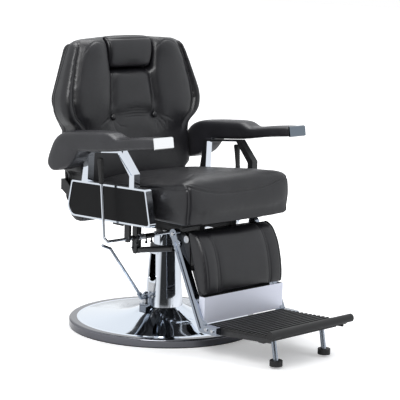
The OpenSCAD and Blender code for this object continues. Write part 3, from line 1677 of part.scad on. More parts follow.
foot_ring();
rim_ring();
base_dish();
pump_body();
pump_gland();
neck_bolts();
column_sleeve();
sleeve_strip();
sleeve_collar();
pump_bracket();
pump_pivot_pin();
pump_lever_hub();
pump_lever_rod();
pump_plunger();
lift_ram();
lift_tube();
swivel_hub();
hub_bolts();
seat_frame();
seat_board();
seat_cushion();
side_trim_left();
side_trim_right();
side_panel_left();
side_panel_right();
arm_bracket_left();
arm_bracket_right();
arm_pad_left();
arm_pad_right();
arm_cap_left();
arm_cap_right();
shaft_hangers();
return_spring();
lock_bracket();
pivot_pins();
frame_bolts();
recline_shaft();
lever_grip_left();
lever_grip_right();
release_arms();
lock_cylinder();
lock_rod();
coupling_link();
back_frame();
back_board();
back_cushion();
back_buttons();
headrest_pad();
headrest_bar();
leg_arm_left();
leg_arm_right();
leg_frame();
calf_board();
calf_pad();
kick_plate();
tread_frame();
tread_mat();
footrest_legs();
rubber_feet();
leg_bolts();
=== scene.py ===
# %% [markdown]
# # A barber chair, dressed on its CAD frame
# The solids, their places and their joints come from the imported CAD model. This lesson adds what
# CAD leaves out: stuffed leather, polished and brushed metal, ribbed rubber, seams and studio light.
# Everything is in metres, with the origin on the floor under the column and the front at -Y.

# %% Load the frame
import json
import bpy
import bmesh
import numpy as np
from mathutils import Matrix, Vector


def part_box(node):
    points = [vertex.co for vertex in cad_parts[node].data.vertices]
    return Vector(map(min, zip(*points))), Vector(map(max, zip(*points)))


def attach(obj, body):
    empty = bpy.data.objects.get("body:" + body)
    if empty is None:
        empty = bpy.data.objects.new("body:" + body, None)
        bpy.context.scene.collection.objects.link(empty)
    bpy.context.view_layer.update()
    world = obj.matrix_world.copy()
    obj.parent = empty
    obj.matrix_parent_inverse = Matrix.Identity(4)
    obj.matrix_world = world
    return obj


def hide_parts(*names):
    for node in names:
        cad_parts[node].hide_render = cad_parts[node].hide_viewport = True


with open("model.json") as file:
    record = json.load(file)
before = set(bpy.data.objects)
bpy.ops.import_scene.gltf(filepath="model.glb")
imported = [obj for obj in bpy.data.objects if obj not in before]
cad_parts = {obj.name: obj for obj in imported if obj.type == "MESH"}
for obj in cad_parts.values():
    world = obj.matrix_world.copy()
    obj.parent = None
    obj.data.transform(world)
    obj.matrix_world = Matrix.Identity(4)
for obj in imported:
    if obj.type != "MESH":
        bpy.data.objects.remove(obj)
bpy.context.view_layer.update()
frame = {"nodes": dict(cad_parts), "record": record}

# %% [markdown]
# ## The camera
# The photograph was taken from the front left, a little above the seat, with a long lens. Its
# direction, distance and tilt were solved from the base circle and the straight edges of the
# chair, so the camera is placed by numbers instead of by eye.

# %% Camera
AZIMUTH, ELEVATION, ROLL = np.radians([-45.17, 9.11, 1.53])
TARGET = np.array([-0.02016, -0.19044, 0.48447])
DISTANCE = 5.2963
LENS_MM, SENSOR_MM = 137.3, 36.0
level = np.cos(ELEVATION)
back = np.array([np.sin(AZIMUTH) * level, -np.cos(AZIMUTH) * level, np.sin(ELEVATION)])
right = np.cross(-back, [0, 0, 1.0])
right /= np.linalg.norm(right)
up = np.cross(right, -back)
right, up = right * np.cos(ROLL) + up * np.sin(ROLL), up * np.cos(ROLL) - right * np.sin(ROLL)
camera = bpy.data.objects.new("camera", bpy.data.cameras.new("camera"))
bpy.context.scene.collection.objects.link(camera)
place = Matrix.Identity(4)
for column, axis in enumerate((right, up, back, TARGET + back * DISTANCE)):
    for row in range(3):
        place[row][column] = float(axis[row])
camera.matrix_world = place
camera.data.sensor_width = SENSOR_MM
camera.data.lens = LENS_MM
camera.data.clip_end = 60.0
bpy.context.scene.camera = camera
print("camera at", [round(v, 3) for v in camera.location])

# %% [markdown]
# ## Studio
# A product photograph has a white floor that fades into a white wall, and large soft lamps. The
# floor keeps the shadow. Rays from the camera see a white wall. Reflections see a room: white
# walls at the sides and behind, and the dark end where the photographer stands. It is this dark
# strip between two white ones that makes a polished column look round.

# %% World and lamps
bpy.context.scene.view_settings.view_transform = "Standard"
world = bpy.data.worlds.new("studio")
bpy.context.scene.world = world
world.use_nodes = True
tree = world.node_tree
tree.nodes.clear()
light_path = tree.nodes.new("ShaderNodeLightPath")
out = tree.nodes.new("ShaderNodeOutputWorld")


def sky(color, strength):
    """A plain world colour."""
    node = tree.nodes.new("ShaderNodeBackground")
    node.inputs["Color"].default_value = (*color, 1)
    node.inputs["Strength"].default_value = strength
    return node


def either(share, a, b):
    """Shader a where share is 0 and b where it is 1."""
    node = tree.nodes.new("ShaderNodeMixShader")
    tree.links.new(share, node.inputs[0])
    tree.links.new(a.outputs[0], node.inputs[1])
    tree.links.new(b.outputs[0], node.inputs[2])
    return node


# Places round the compass, as shares of a turn, and how bright the room is there. The camera is at 0.125.
WALL_STOPS = [(0.0, 1.0), (0.040, 0.75), (0.070, 0.035), (0.18, 0.035), (0.235, 0.45), (0.275, 1.0),
              (0.46, 1.0), (0.52, 0.85), (0.58, 1.0), (0.70, 1.0), (0.74, 0.7), (0.80, 0.97)]
CEILING_STARTS, CEILING_FULL = 0.28, 0.62         # the upward part of a direction


def room_colour(tree, vector):
    """The room's brightness in each compass direction: a gradient round the vertical, read by a ramp."""
    compass = tree.nodes.new("ShaderNodeTexGradient")
    compass.gradient_type = "RADIAL"
    tree.links.new(vector, compass.inputs["Vector"])
    walls = tree.nodes.new("ShaderNodeValToRGB")
    walls.color_ramp.interpolation = "EASE"
    while len(walls.color_ramp.elements) < len(WALL_STOPS):
        walls.color_ramp.elements.new(0.5)
    for stop, (place_at, level) in zip(walls.color_ramp.elements, WALL_STOPS):
        stop.position = place_at
        stop.color = (level * 0.96, level * 0.98, level, 1)
    tree.links.new(compass.outputs["Fac"], walls.inputs["Fac"])
    return walls.outputs["Color"]


direction = tree.nodes.new("ShaderNodeTexCoord")
split = tree.nodes.new("ShaderNodeSeparateXYZ")
tree.links.new(direction.outputs["Generated"], split.inputs[0])
upward = tree.nodes.new("ShaderNodeMapRange")
upward.interpolation_type = "SMOOTHSTEP"
upward.inputs["From Min"].default_value = CEILING_STARTS
upward.inputs["From Max"].default_value = CEILING_FULL
tree.links.new(split.outputs["Z"], upward.inputs["Value"])
mirrored = sky((1, 1, 1), 1.0)
tree.links.new(room_colour(tree, direction.outputs["Generated"]), mirrored.inputs["Color"])
glossy_room = either(upward.outputs["Result"], mirrored, sky((0.96, 0.98, 1.0), 0.95))
dim_room = sky((0.93, 0.96, 1.0), 0.34)
lit = either(light_path.outputs["Is Glossy Ray"], dim_room, glossy_room)
seen = tree.nodes.new("ShaderNodeMath")
seen.operation = "MAXIMUM"
tree.links.new(light_path.outputs["Is Camera Ray"], seen.inputs[0])
tree.links.new(light_path.outputs["Is Transmission Ray"], seen.inputs[1])
tree.links.new(either(seen.outputs[0], lit, sky((1, 1, 1), 1.0)).outputs[0], out.inputs["Surface"])


def lamp(name, place, aim, size, power, tint=(1, 1, 1)):
    """A square softbox at place that faces aim."""
    data = bpy.data.lights.new(name, "AREA")
    data.shape = "RECTANGLE"
    data.size, data.size_y = size
    data.energy = power
    data.color = tint
    obj = bpy.data.objects.new(name, data)
    bpy.context.scene.collection.objects.link(obj)
    obj.location = place
    obj.rotation_euler = (Vector(aim) - Vector(place)).to_track_quat("-Z", "Y").to_euler()
    return obj


lamp("key_softbox", (-2.6, -1.6, 2.9), (0, 0, 0.5), (1.6, 2.2), 95)
fill = lamp("fill_softbox", (1.4, -3.4, 2.0), (0, 0, 0.5), (1.4, 2.0), 34, (0.95, 0.97, 1.0))
lamp("top_softbox", (0.3, 0.5, 3.2), (0, 0, 0.6), (2.4, 2.0), 62)
rear = lamp("rear_strip", (2.4, 2.2, 1.8), (0, 0, 0.7), (0.6, 2.2), 28)
for soft in (fill, rear):
    soft.visible_glossy = False        # they fill the shade and put no streaks on the leather

# %% [markdown]
# ## Materials
# Each finish is one recipe of nodes on Object coordinates, so a pattern keeps its real scale in
# metres on every piece. Colours stay plain; the interest comes from roughness and bump, as on
# the real thing: smudges on chrome, pebble grain in leather, drawing lines on steel.

# %% A small kit for material nodes
def new_material(name, color, metallic=0.0, roughness=0.5, ior=1.5):
    """A Principled material with constants on its own sockets. Returns the material, tree and shader."""
    mat = bpy.data.materials.new(name)
    mat.use_nodes = True
    tree = mat.node_tree
    shader = tree.nodes["Principled BSDF"]
    shader.inputs["Base Color"].default_value = (*color, 1)
    shader.inputs["Metallic"].default_value = metallic
    shader.inputs["Roughness"].default_value = roughness
    shader.inputs["IOR"].default_value = ior
    return mat, tree, shader


def coordinates(tree, scale=(1, 1, 1)):
    """Object coordinates, stretched by scale."""
    source = tree.nodes.new("ShaderNodeTexCoord")
    mapping = tree.nodes.new("ShaderNodeMapping")
    mapping.inputs["Scale"].default_value = scale
    tree.links.new(source.outputs["Object"], mapping.inputs["Vector"])
    return mapping.outputs["Vector"]


def noise(tree, vector, scale, detail=3.0, rough=0.5, distortion=0.0):
    """Smooth noise with scale cells a metre."""
    node = tree.nodes.new("ShaderNodeTexNoise")
    node.inputs["Scale"].default_value = scale
    node.inputs["Detail"].default_value = detail
    node.inputs["Roughness"].default_value = rough
    node.inputs["Distortion"].default_value = distortion
    tree.links.new(vector, node.inputs["Vector"])
    return node.outputs["Fac"]


def cells(tree, vector, scale, feature="DISTANCE_TO_EDGE"):
    """A pattern of cells: the distance to the nearest edge or centre."""
    node = tree.nodes.new("ShaderNodeTexVoronoi")
    node.feature = feature
    node.inputs["Scale"].default_value = scale
    tree.links.new(vector, node.inputs["Vector"])
    return node.outputs["Distance"]


def spread(tree, value, low, high, to_low, to_high):
    """A value's range mapped to another, clamped."""
    node = tree.nodes.new("ShaderNodeMapRange")
    for socket, number in zip(("From Min", "From Max", "To Min", "To Max"), (low, high, to_low, to_high)):
        node.inputs[socket].default_value = number
    tree.links.new(value, node.inputs["Value"])
    return node.outputs["Result"]


def ramp(tree, value, stops):
    """Colours at positions along a value."""
    node = tree.nodes.new("ShaderNodeValToRGB")
    while len(node.color_ramp.elements) < len(stops):
        node.color_ramp.elements.new(0.5)
    for element, (position, color) in zip(node.color_ramp.elements, stops):
        element.position = position
        element.color = (*color, 1)
    tree.links.new(value, node.inputs["Fac"])
    return node.outputs["Color"]


def together(tree, a, b, operation="ADD"):
    """Two values joined by a sum, a product or another operation."""
    node = tree.nodes.new("ShaderNodeMath")
    node.operation = operation
    tree.links.new(a, node.inputs[0])
    tree.links.new(b, node.inputs[1])
    return node.outputs[0]


def length_of(tree, vector):
    """The length of a vector."""
    node = tree.nodes.new("ShaderNodeVectorMath")
    node.operation = "LENGTH"
    tree.links.new(vector, node.inputs[0])
    return node.outputs["Value"]


def bump(tree, shader, height, distance, strength=1.0, after=None):
    """Height in metres as a bend of the shading normal. after is an earlier bump to build on."""
    node = tree.nodes.new("ShaderNodeBump")
    node.inputs["Strength"].default_value = strength
    node.inputs["Distance"].default_value = distance
    tree.links.new(height, node.inputs["Height"])
    if after is not None:
        tree.links.new(after, node.inputs["Normal"])
    tree.links.new(node.outputs["Normal"], shader.inputs["Normal"])
    return node.outputs["Normal"]


# %% [markdown]
# ### Leather
# Black upholstery leather has a pebble grain about 1.5 mm across, pores in the valleys, softer
# wrinkles of a few centimetres, and a sheen that is duller where hands and backs have rubbed it.
# A cell pattern gives pebbles with sharp valleys, which plain noise can't.

# %% Leather
def leather(name, grain=620.0, wrinkle=1.0, depth=1.0, sheen=0.55):
    """Black leather: cells for the pebbles, two noises for pores and wrinkles, noise in the sheen."""
    mat, tree, shader = new_material(name, (0.0092, 0.0090, 0.0108), 0.0, 0.40, 1.48)
    shader.inputs["Specular IOR Level"].default_value = sheen
    here = coordinates(tree)
    patches = noise(tree, here, 9, 4, 0.6)
    dyes = [(0.3, (0.0070, 0.0069, 0.0083)), (0.7, (0.0115, 0.0113, 0.0136))]
    # depth scales the colour; the arm pads' 1.7 is painted light
    tint = ramp(tree, patches, [(place_at, tuple(depth * c for c in dye)) for place_at, dye in dyes])
    tree.links.new(tint, shader.inputs["Base Color"])
    rubbed = spread(tree, noise(tree, here, 17, 5, 0.65), 0.3, 0.7, 0.31, 0.43)
    tree.links.new(rubbed, shader.inputs["Roughness"])
    pebbles = spread(tree, cells(tree, here, grain), 0.0, 0.28, 0.0, 1.0)
    normal = bump(tree, shader, pebbles, 0.00010, 0.5)
    pores = noise(tree, here, 2600, 2, 0.5)
    normal = bump(tree, shader, pores, 0.00006, 0.4, normal)
    folds = noise(tree, coordinates(tree, (1.0, 1.0, 1.9)), 21, 4, 0.55, 0.8)
    bump(tree, shader, folds, 0.0007 * wrinkle, 0.5, normal)
    return mat


# %% [markdown]
# ### Chrome, steel and paint
# Polished chrome is a mirror with faint wiping smudges, so only its roughness varies. Brushed
# steel has fine lines along one axis. Satin black paint shows a soft orange-peel bump.

# %% Metals and paint
# the black is painted shade on the arm brackets' inward faces
CHROME, PAINTED_SHADE_BLACK = (0.76, 0.80, 0.86), (0.012, 0.012, 0.013)


def chrome(name, tint=CHROME, smudge=0.06):
    """Mirror metal: two noises drive roughness from a clean shine to faint wiping marks."""
    mat, tree, shader = new_material(name, tint, 1.0, 0.07)
    here = coordinates(tree)
    wiped = noise(tree, coordinates(tree, (9, 9, 60)), 6, 3, 0.6)
    marks = together(tree, noise(tree, here, 7, 5, 0.6), wiped, "MULTIPLY")
    rough = spread(tree, marks, 0.12, 0.45, 0.035, 0.035 + smudge)
    tree.links.new(rough, shader.inputs["Roughness"])
    bump(tree, shader, noise(tree, here, 55, 3, 0.5), 0.00012, 0.25)
    return mat


def brushed(name, axis=0, tint=(0.56, 0.57, 0.59), rough=0.3, metal=1.0):
    """Satin steel: noise stretched along one axis into drawing lines, in bump and roughness."""
    mat, tree, shader = new_material(name, tint, metal, rough)
    stretch = [900.0, 900.0, 900.0]
    stretch[axis] = 14.0
    lines = noise(tree, coordinates(tree, stretch), 1.0, 3, 0.6)
    tree.links.new(spread(tree, lines, 0.3, 0.7, rough - 0.08, rough + 0.12), shader.inputs["Roughness"])
    bump(tree, shader, lines, 0.00004, 0.5)
    return mat


def paint(name, tint=(0.011, 0.011, 0.012), rough=0.34):
    """Satin black paint: fine peel in the bump, dusty patches in the colour and roughness."""
    mat, tree, shader = new_material(name, tint, 0.0, rough, 1.5)
    here = coordinates(tree)
    worn = spread(tree, noise(tree, here, 26, 5, 0.65), 0.3, 0.75, rough - 0.06, rough + 0.16)
    tree.links.new(worn, shader.inputs["Roughness"])
    dust = ramp(tree, noise(tree, here, 60, 5, 0.7), [(0.42, tint), (0.85, tuple(2.2 * t for t in tint))])
    tree.links.new(dust, shader.inputs["Base Color"])
    bump(tree, shader, noise(tree, here, 700, 2, 0.4), 0.00008, 0.35)
    return mat


# %% [markdown]
# ### Rubber, plastic and wood
# Rubber is dull with a fine speckle, moulded plastic has a leather-like spark-eroded texture,
# and the boards inside the cushions are plywood with long grain.

# %% Rubber, plastic and wood
def rubber(name, tint=(0.012, 0.012, 0.0125), rough=0.62):
    """Dull black rubber: fine speckle in the bump, scuffs that are paler and rougher."""
    mat, tree, shader = new_material(name, tint, 0.0, rough, 1.45)
    here = coordinates(tree)
    scuffs = noise(tree, coordinates(tree, (1, 3, 1)), 34, 6, 0.7)
    scuffed = ramp(tree, scuffs, [(0.45, tint), (0.8, (0.028, 0.028, 0.028))])
    tree.links.new(scuffed, shader.inputs["Base Color"])
    tree.links.new(spread(tree, scuffs, 0.3, 0.75, rough - 0.12, rough + 0.14), shader.inputs["Roughness"])
    bump(tree, shader, noise(tree, here, 1500, 2, 0.6), 0.00007, 0.5)
    return mat


def plastic(name, tint=(0.014, 0.014, 0.0145), rough=0.46):
    """Moulded black plastic: small soft cells as left by an etched mould."""
    mat, tree, shader = new_material(name, tint, 0.0, rough, 1.47)
    here = coordinates(tree)
    worn = spread(tree, noise(tree, here, 30, 4, 0.6), 0.3, 0.7, rough - 0.08, rough + 0.1)
    tree.links.new(worn, shader.inputs["Roughness"])
    shade = ramp(tree, noise(tree, here, 12, 4, 0.6), [(0.3, tint), (0.8, tuple(1.5 * t for t in tint))])
    tree.links.new(shade, shader.inputs["Base Color"])
    bump(tree, shader, spread(tree, cells(tree, here, 1100, "F1"), 0.1, 0.7, 1.0, 0.0), 0.00008, 0.45)
    return mat


def plywood(name):
    """Birch plywood: long grain from noise stretched along X, in three tones of wood."""
    mat, tree, shader = new_material(name, (0.45, 0.32, 0.2), 0.0, 0.62)
    grain = noise(tree, coordinates(tree, (3, 40, 40)), 6, 6, 0.6, 1.2)
    tones = [(0.3, (0.34, 0.22, 0.12)), (0.55, (0.50, 0.36, 0.22)), (0.75, (0.60, 0.46, 0.30))]
    tree.links.new(ramp(tree, grain, tones), shader.inputs["Base Color"])
    bump(tree, shader, grain, 0.0003, 0.4)
    return mat


def edged_chrome(name, front_in_painted_shade=False):
    """Chrome outside, and black painted shade on faces that look at the seat, and if asked on the front bar.

    The normal's X times the place's X is negative on a face that looks inwards.
    """
    mat, tree, shader = new_material(name, CHROME, 1.0, 0.08)
    source = tree.nodes.new("ShaderNodeTexCoord")
    facing, place_of = tree.nodes.new("ShaderNodeSeparateXYZ"), tree.nodes.new("ShaderNodeSeparateXYZ")
    tree.links.new(source.outputs["Normal"], facing.inputs[0])
    tree.links.new(source.outputs["Object"], place_of.inputs[0])
    outwards = together(tree, facing.outputs["X"], place_of.outputs["X"], "MULTIPLY")
    chrome_share = spread(tree, outwards, -0.17, -0.12, 0.0, 1.0)
    if front_in_painted_shade:
        behind = spread(tree, place_of.outputs["Y"], 0.045, 0.055, 0.0, 1.0)
        chrome_share = together(tree, chrome_share, behind, "MULTIPLY")
    # painted shade: black, dull and not metal where a face looks inwards, and on the front if asked
    tree.links.new(ramp(tree, chrome_share, [(0.0, PAINTED_SHADE_BLACK), (1.0, CHROME)]), shader.inputs["Base Color"])
    tree.links.new(chrome_share, shader.inputs["Metallic"])
    marks = noise(tree, coordinates(tree), 20, 4, 0.6)
    worn = together(tree, spread(tree, chrome_share, 0, 1, 0.34, 0.05), spread(tree, marks, 0.35, 0.7, 0.0, 0.07))
    tree.links.new(worn, shader.inputs["Roughness"])
    bump(tree, shader, noise(tree, coordinates(tree), 500, 2, 0.4), 0.00004, 0.3)
    return mat


def dust_cloth(name):
    """Thin black lining: crossed waves of threads a millimetre apart in the bump, pale lint in the colour."""
    mat, tree, shader = new_material(name, (0.010, 0.010, 0.011), 0.0, 0.9)
    shader.inputs["Sheen Weight"].default_value = 0.15
    here = coordinates(tree)
    threads = []
    for axis in ("X", "Z"):
        wave = tree.nodes.new("ShaderNodeTexWave")
        wave.bands_direction = axis
        wave.inputs["Scale"].default_value = 320
        wave.inputs["Distortion"].default_value = 0.8
        tree.links.new(here, wave.inputs["Vector"])
        threads.append(wave.outputs["Fac"])
    bump(tree, shader, together(tree, *threads), 0.00015, 0.6)
    lint = noise(tree, here, 180, 5, 0.75)
    linted = ramp(tree, lint, [(0.5, (0.009, 0.009, 0.010)), (0.8, (0.022, 0.022, 0.023))])
    tree.links.new(linted, shader.inputs["Base Color"])
    return mat


def spun_dish(name):
    """Chrome whose shading leans outwards by some ten degrees, and more near the neck, like a spun cone."""
    mat, tree, shader = new_material(name, (0.80, 0.86, 0.94), 1.0, 0.05)
    radius = length_of(tree, coordinates(tree, (1, 1, 0)))
    cone = tree.nodes.new("ShaderNodeFloatCurve")
    for place_at, height in ((0.18, 0.6625), (0.3, 0.5125), (0.6, 0.25)):
        cone.mapping.curves[0].points.new(place_at, height)
    cone.mapping.curves[0].points[0].location = (0, 1)
    cone.mapping.curves[0].points[-1].location = (1, 0)
    cone.mapping.update()
    tree.links.new(spread(tree, radius, 0.0, 0.30, 0.0, 1.0), cone.inputs["Value"])
    normal = bump(tree, shader, cone.outputs["Value"], 0.096, 1.0)
    marks = noise(tree, coordinates(tree), 9, 5, 0.6)
    tree.links.new(spread(tree, marks, 0.35, 0.7, 0.03, 0.08), shader.inputs["Roughness"])
    bump(tree, shader, noise(tree, coordinates(tree), 40, 2, 0.5), 0.0001, 0.2, normal)
    return mat


hide = leather("black_leather")
hide_small = leather("black_leather_fine", 760.0, 0.5)
# painted light: the arm pads take the same leather with a 1.7 times lighter colour, for the light on the arms
arm_hide = leather("arm_leather_painted_lighter", 700.0, 0.4, 1.7)
panel_hide = leather("side_panel_vinyl", 900.0, 0.3, 0.25, 0.16)
mirror = chrome("polished_chrome")
mirror_dish = spun_dish("polished_chrome_dish")
satin = brushed("brushed_steel_x", 0)
satin_z = brushed("brushed_steel_z", 2)
black_paint = paint("satin_black_paint")
gland_plastic = plastic("moulded_black_plastic")
# painted shade: both arm brackets turn black on the faces towards the seat, the far one on its front as well
two_sided = edged_chrome("chrome_with_painted_shade_inner_face")
two_sided_far = edged_chrome("chrome_with_painted_shade_inner_and_front", True)
rim_black = chrome("black_chrome", (0.17, 0.172, 0.19), 0.14)
grey_chrome = chrome("grey_chrome", (0.30, 0.33, 0.38), 0.08)
# painted reflection: the arm caps are one chrome in two tints, bright for the near cap and dark for the far
# one
chrome_painted_bright_reflection = chrome("chrome_painted_bright_reflection", (0.97, 0.98, 0.99), 0.03)
chrome_painted_dark_reflection = chrome("chrome_painted_dark_reflection", (0.17, 0.20, 0.235), 0.10)
aluminium = brushed("brushed_aluminium", 0, (0.80, 0.82, 0.92), 0.5, 0.6)
blue_steel = brushed("drawn_steel", 2, (0.36, 0.40, 0.46), 0.26)
lining = dust_cloth("black_lining_cloth")
black_rubber = rubber("black_rubber")
board_wood = plywood("birch_plywood")
print("materials", len(bpy.data.materials))

# %% [markdown]
# ### Dressing the CAD nodes
# Rigid CAD nodes keep their exact shape. Their material slot in the record says which finish
# each takes, and a second table holds the nodes whose finish differs from their slot's.

# %% Finishes for the CAD nodes
finish_of = {"chrome": mirror, "steel": satin, "black_paint": black_paint, "black_plastic": gland_plastic,
             "rubber": black_rubber, "plywood": board_wood, "upholstery": hide}
for part in frame["record"]["subparts"]:
    node = frame["nodes"][part["node"]]
    node.data.materials.clear()
    node.data.materials.append(finish_of[part["material_slot"]])
own_finish = {"lift_tube": mirror, "lift_ram": mirror, "pump_lever_rod": blue_steel, "pump_plunger": satin_z,
              "base_dish": mirror_dish, "rim_ring": rim_black, "kick_plate": aluminium,
              "footrest_legs": blue_steel, "pump_lever_hub": blue_steel, "pump_bracket": grey_chrome,
              "seat_board": lining, "calf_board": lining, "back_board": lining,
              "side_panel_left": panel_hide, "side_panel_right": panel_hide,
              # painted shade: the arm brackets' inward faces are black, and the left one's front too
              "arm_bracket_left": two_sided_far, "arm_bracket_right": two_sided,
              # painted reflection: the left cap's dark tint and the right cap's bright tint
              "arm_cap_left": chrome_painted_dark_reflection, "arm_cap_right": chrome_painted_bright_reflection,
              "leg_arm_left": grey_chrome, "leg_arm_right": grey_chrome}
for name, finish in own_finish.items():
    frame["nodes"][name].data.materials[0] = finish

# %% [markdown]
# ## Helpers for surfaces
# A surface is a table of points: rings of equal length, one after another. The skin joins
# neighbouring rings with four-sided faces. Each end is closed by a ladder of faces between the
# first and second half of the ring, so no end is left as one big fan.

# %% Skins from rings
def add_object(name, vertices, faces, material, smooth=True):
    """An object at the origin from arrays of vertices and faces, turned to face outwards."""
    mesh = bpy.data.meshes.new(name)
    mesh.from_pydata(np.asarray(vertices, float).tolist(), [], [list(map(int, f)) for f in faces])
    mesh.validate()
    build = bmesh.new()
    build.from_mesh(mesh)
    bmesh.ops.remove_doubles(build, verts=build.verts, dist=1e-6)
    bmesh.ops.recalc_face_normals(build, faces=build.faces)
    if build.calc_volume(signed=True) < 0:
        bmesh.ops.reverse_faces(build, faces=build.faces)
    build.to_mesh(mesh)
    build.free()
    mesh.polygons.foreach_set("use_smooth", [smooth] * len(mesh.polygons))
    mesh.materials.append(material)
    obj = bpy.data.objects.new(name, mesh)
    bpy.context.scene.collection.objects.link(obj)
    return obj


def skin(rings):
    """Vertices and faces of a closed skin: quads between rings, ladders that pair points i and n - i."""
    rings = np.asarray(rings, float)
    m, n = rings.shape[:2]
    index = np.arange(m * n).reshape(m, n)
    a, b = index[:-1], index[1:]
    sides = np.stack([a, b, np.roll(b, -1, 1), np.roll(a, -1, 1)], -1).reshape(-1, 4)
    i = np.arange(0, n // 2)
    ladder = np.stack([i, i + 1, (n - i - 1) % n, (n - i) % n], -1)
    faces = sides.tolist()
    for start, turn in ((0, 1), ((m - 1) * n, -1)):
        for quad in (ladder + start)[:, ::turn].tolist():
            unique = list(dict.fromkeys(quad))
            if len(unique) > 2:
                faces.append(unique)
    return rings.reshape(-1, 3), faces


def smoothstep(t):
    """0 below 0, 1 above 1, and a soft S between."""
    t = np.clip(t, 0, 1)
    return t * t * (3 - 2 * t)


def bell(distance, width):
    """1 at no distance, falling to a third at one width and to nothing at three."""
    return np.exp(-(distance / width) ** 2)


def power(t, exponent):
    """A signed power: what turns a circle into a superellipse."""
    return np.sign(t) * np.abs(t) ** exponent


def tube(path, radius, sides):
    """Rings round a path: at each point two directions at right angles to it carry a circle."""
    heading = np.gradient(path, axis=0)
    heading /= np.linalg.norm(heading, axis=1, keepdims=True)
    side = np.cross(heading, [0.31, 0.22, 0.93])         # a direction that no wire here runs along
    side /= np.linalg.norm(side, axis=1, keepdims=True)
    lift = np.cross(heading, side)
    angle = np.linspace(0, 2 * np.pi, sides, endpoint=False)
    return path[:, None] + radius * (
        np.cos(angle)[None, :, None] * side[:, None] + np.sin(angle)[None, :, None] * lift[:, None])


def cubic(p0, p1, p2, p3, t):
    """The cubic from p1 to p2 whose slope at each is half the step between its two neighbours."""
    return 0.5 * (2 * p1 + (p2 - p0) * t + (2 * p0 - 5 * p1 + 4 * p2 - p3) * t ** 2
                  + (3 * p1 - p0 - 3 * p2 + p3) * t ** 3)


def smooth_curve(points, steps):
    """A smooth open curve through points, with steps places from each point to the next."""
    p = np.asarray(points, float)
    p = np.vstack([2 * p[0] - p[1], p, 2 * p[-1] - p[-2]])
    t = np.linspace(0, 1, steps, endpoint=False)[:, None]
    parts = [cubic(*p[k - 1:k + 3], t) for k in range(1, len(p) - 2)]
    return np.vstack(parts + [p[-2:-1]])


def through(stations, columns, at):
    """Each column of a table of stations, read at new places by a smooth curve through them."""
    curve = smooth_curve(np.column_stack([stations, columns]), 12)
    order = np.argsort(curve[:, 0], kind="stable")
    return np.column_stack([np.interp(at, curve[order, 0], column[order]) for column in curve.T[1:]])


print("surface helpers ready")

# %% [markdown]
# ## Floor
# The floor is one big pale sheet. A lamp's light falls off with distance, so a plain floor would
# grow grey towards the horizon and show an edge. Its own faint glow, which only the camera sees,
# rises with the distance from the chair, and leaves the shadow under the chair alone. An upright
# chrome face looks slightly down, at the floor, so reflections see the room's dark and bright
# sides there as well.

# %% Floor
FLOOR_HALF = 30
floor_mat, tree, shader = new_material("studio_floor", (0.93, 0.93, 0.935), 0.0, 0.8)
shader.inputs["Specular IOR Level"].default_value = 0.1
spot = tree.nodes.new("ShaderNodeTexCoord").outputs["Object"]
away = length_of(tree, spot)
ray = tree.nodes.new("ShaderNodeLightPath")
glow = together(tree, ray.outputs["Is Camera Ray"], spread(tree, away, 0.5, 3.0, 0.30, 1.05), "MULTIPLY")
tree.links.new(glow, shader.inputs["Emission Strength"])
shader.inputs["Emission Color"].default_value = (1, 1, 1, 1)
scuffs = spread(tree, noise(tree, coordinates(tree), 4, 3), 0.3, 0.7, 0.75, 0.85)
tree.links.new(scuffs, shader.inputs["Roughness"])
mirrored_floor = tree.nodes.new("ShaderNodeEmission")
tree.links.new(room_colour(tree, spot), mirrored_floor.inputs["Color"])
in_mirror = together(tree, ray.outputs["Is Glossy Ray"], spread(tree, away, 0.55, 1.1, 0.0, 1.0), "MULTIPLY")
floor_mix = tree.nodes.new("ShaderNodeMixShader")
tree.links.new(in_mirror, floor_mix.inputs[0])
tree.links.new(shader.outputs[0], floor_mix.inputs[1])
tree.links.new(mirrored_floor.outputs[0], floor_mix.inputs[2])
tree.links.new(floor_mix.outputs[0], tree.nodes["Material Output"].inputs["Surface"])
corners = [(FLOOR_HALF * x, FLOOR_HALF * y, 0) for x, y in ((-1, -1), (1, -1), (1, 1), (-1, 1))]
floor = add_object("studio_floor", corners, [(0, 1, 2, 3)], floor_mat, False)
print("floor laid")

# %% [markdown]
# ## How a leather pad is stuffed
# A real pad is a sewn cover pulled over foam. Here each pad starts as a slightly small closed form
# from a formula. A voxel remesh gives it even faces, and a short cloth simulation with air
# pressure inside swells it, with a cap on the travel so that it keeps clear of its neighbours.
# A weight near seams and on flat backs holds the cover there. Seams and creases come last,
# pressed in along the normals of the finer mesh, because a remesh would erase them.

# %% Stuffing
PRESSURE, SLACK, FRAMES = 4.0, 0.006, 18          # air inside, spare cover, and steps of the simulation
PUCKERS = 0.12                                    # the share of its fine ripple that is kept
WIDE_ROUNDS, EDGE_ROUNDS = 40, 16                 # rounds of averaging: of the travel, and across held edges


def points_of(obj):
    """All vertices of an object as an array."""
    flat = np.empty(len(obj.data.vertices) * 3)
    obj.data.vertices.foreach_get("co", flat)
    return flat.reshape(-1, 3)


def normals_of(obj):
    """All vertex normals of an object as an array."""
    flat = np.empty(len(obj.data.vertices) * 3)
    obj.data.vertices.foreach_get("normal", flat)
    return flat.reshape(-1, 3)


def set_points(obj, points):
    """Puts an array of vertices back into an object."""
    obj.data.vertices.foreach_set("co", np.asarray(points, float).ravel())
    obj.data.update()


def bake(obj, *modifiers):
    """Applies modifiers, each given as (type, settings), and leaves plain mesh."""
    for kind, settings in modifiers:
        modifier = obj.modifiers.new(kind.lower(), kind)
        for key, value in settings.items():
            setattr(modifier, key, value)
    done = bpy.data.meshes.new_from_object(obj.evaluated_get(bpy.context.evaluated_depsgraph_get()))
    old, name = obj.data, obj.data.name
    obj.modifiers.clear()
    obj.data = done
    bpy.data.meshes.remove(old)
    done.name = name
    return obj


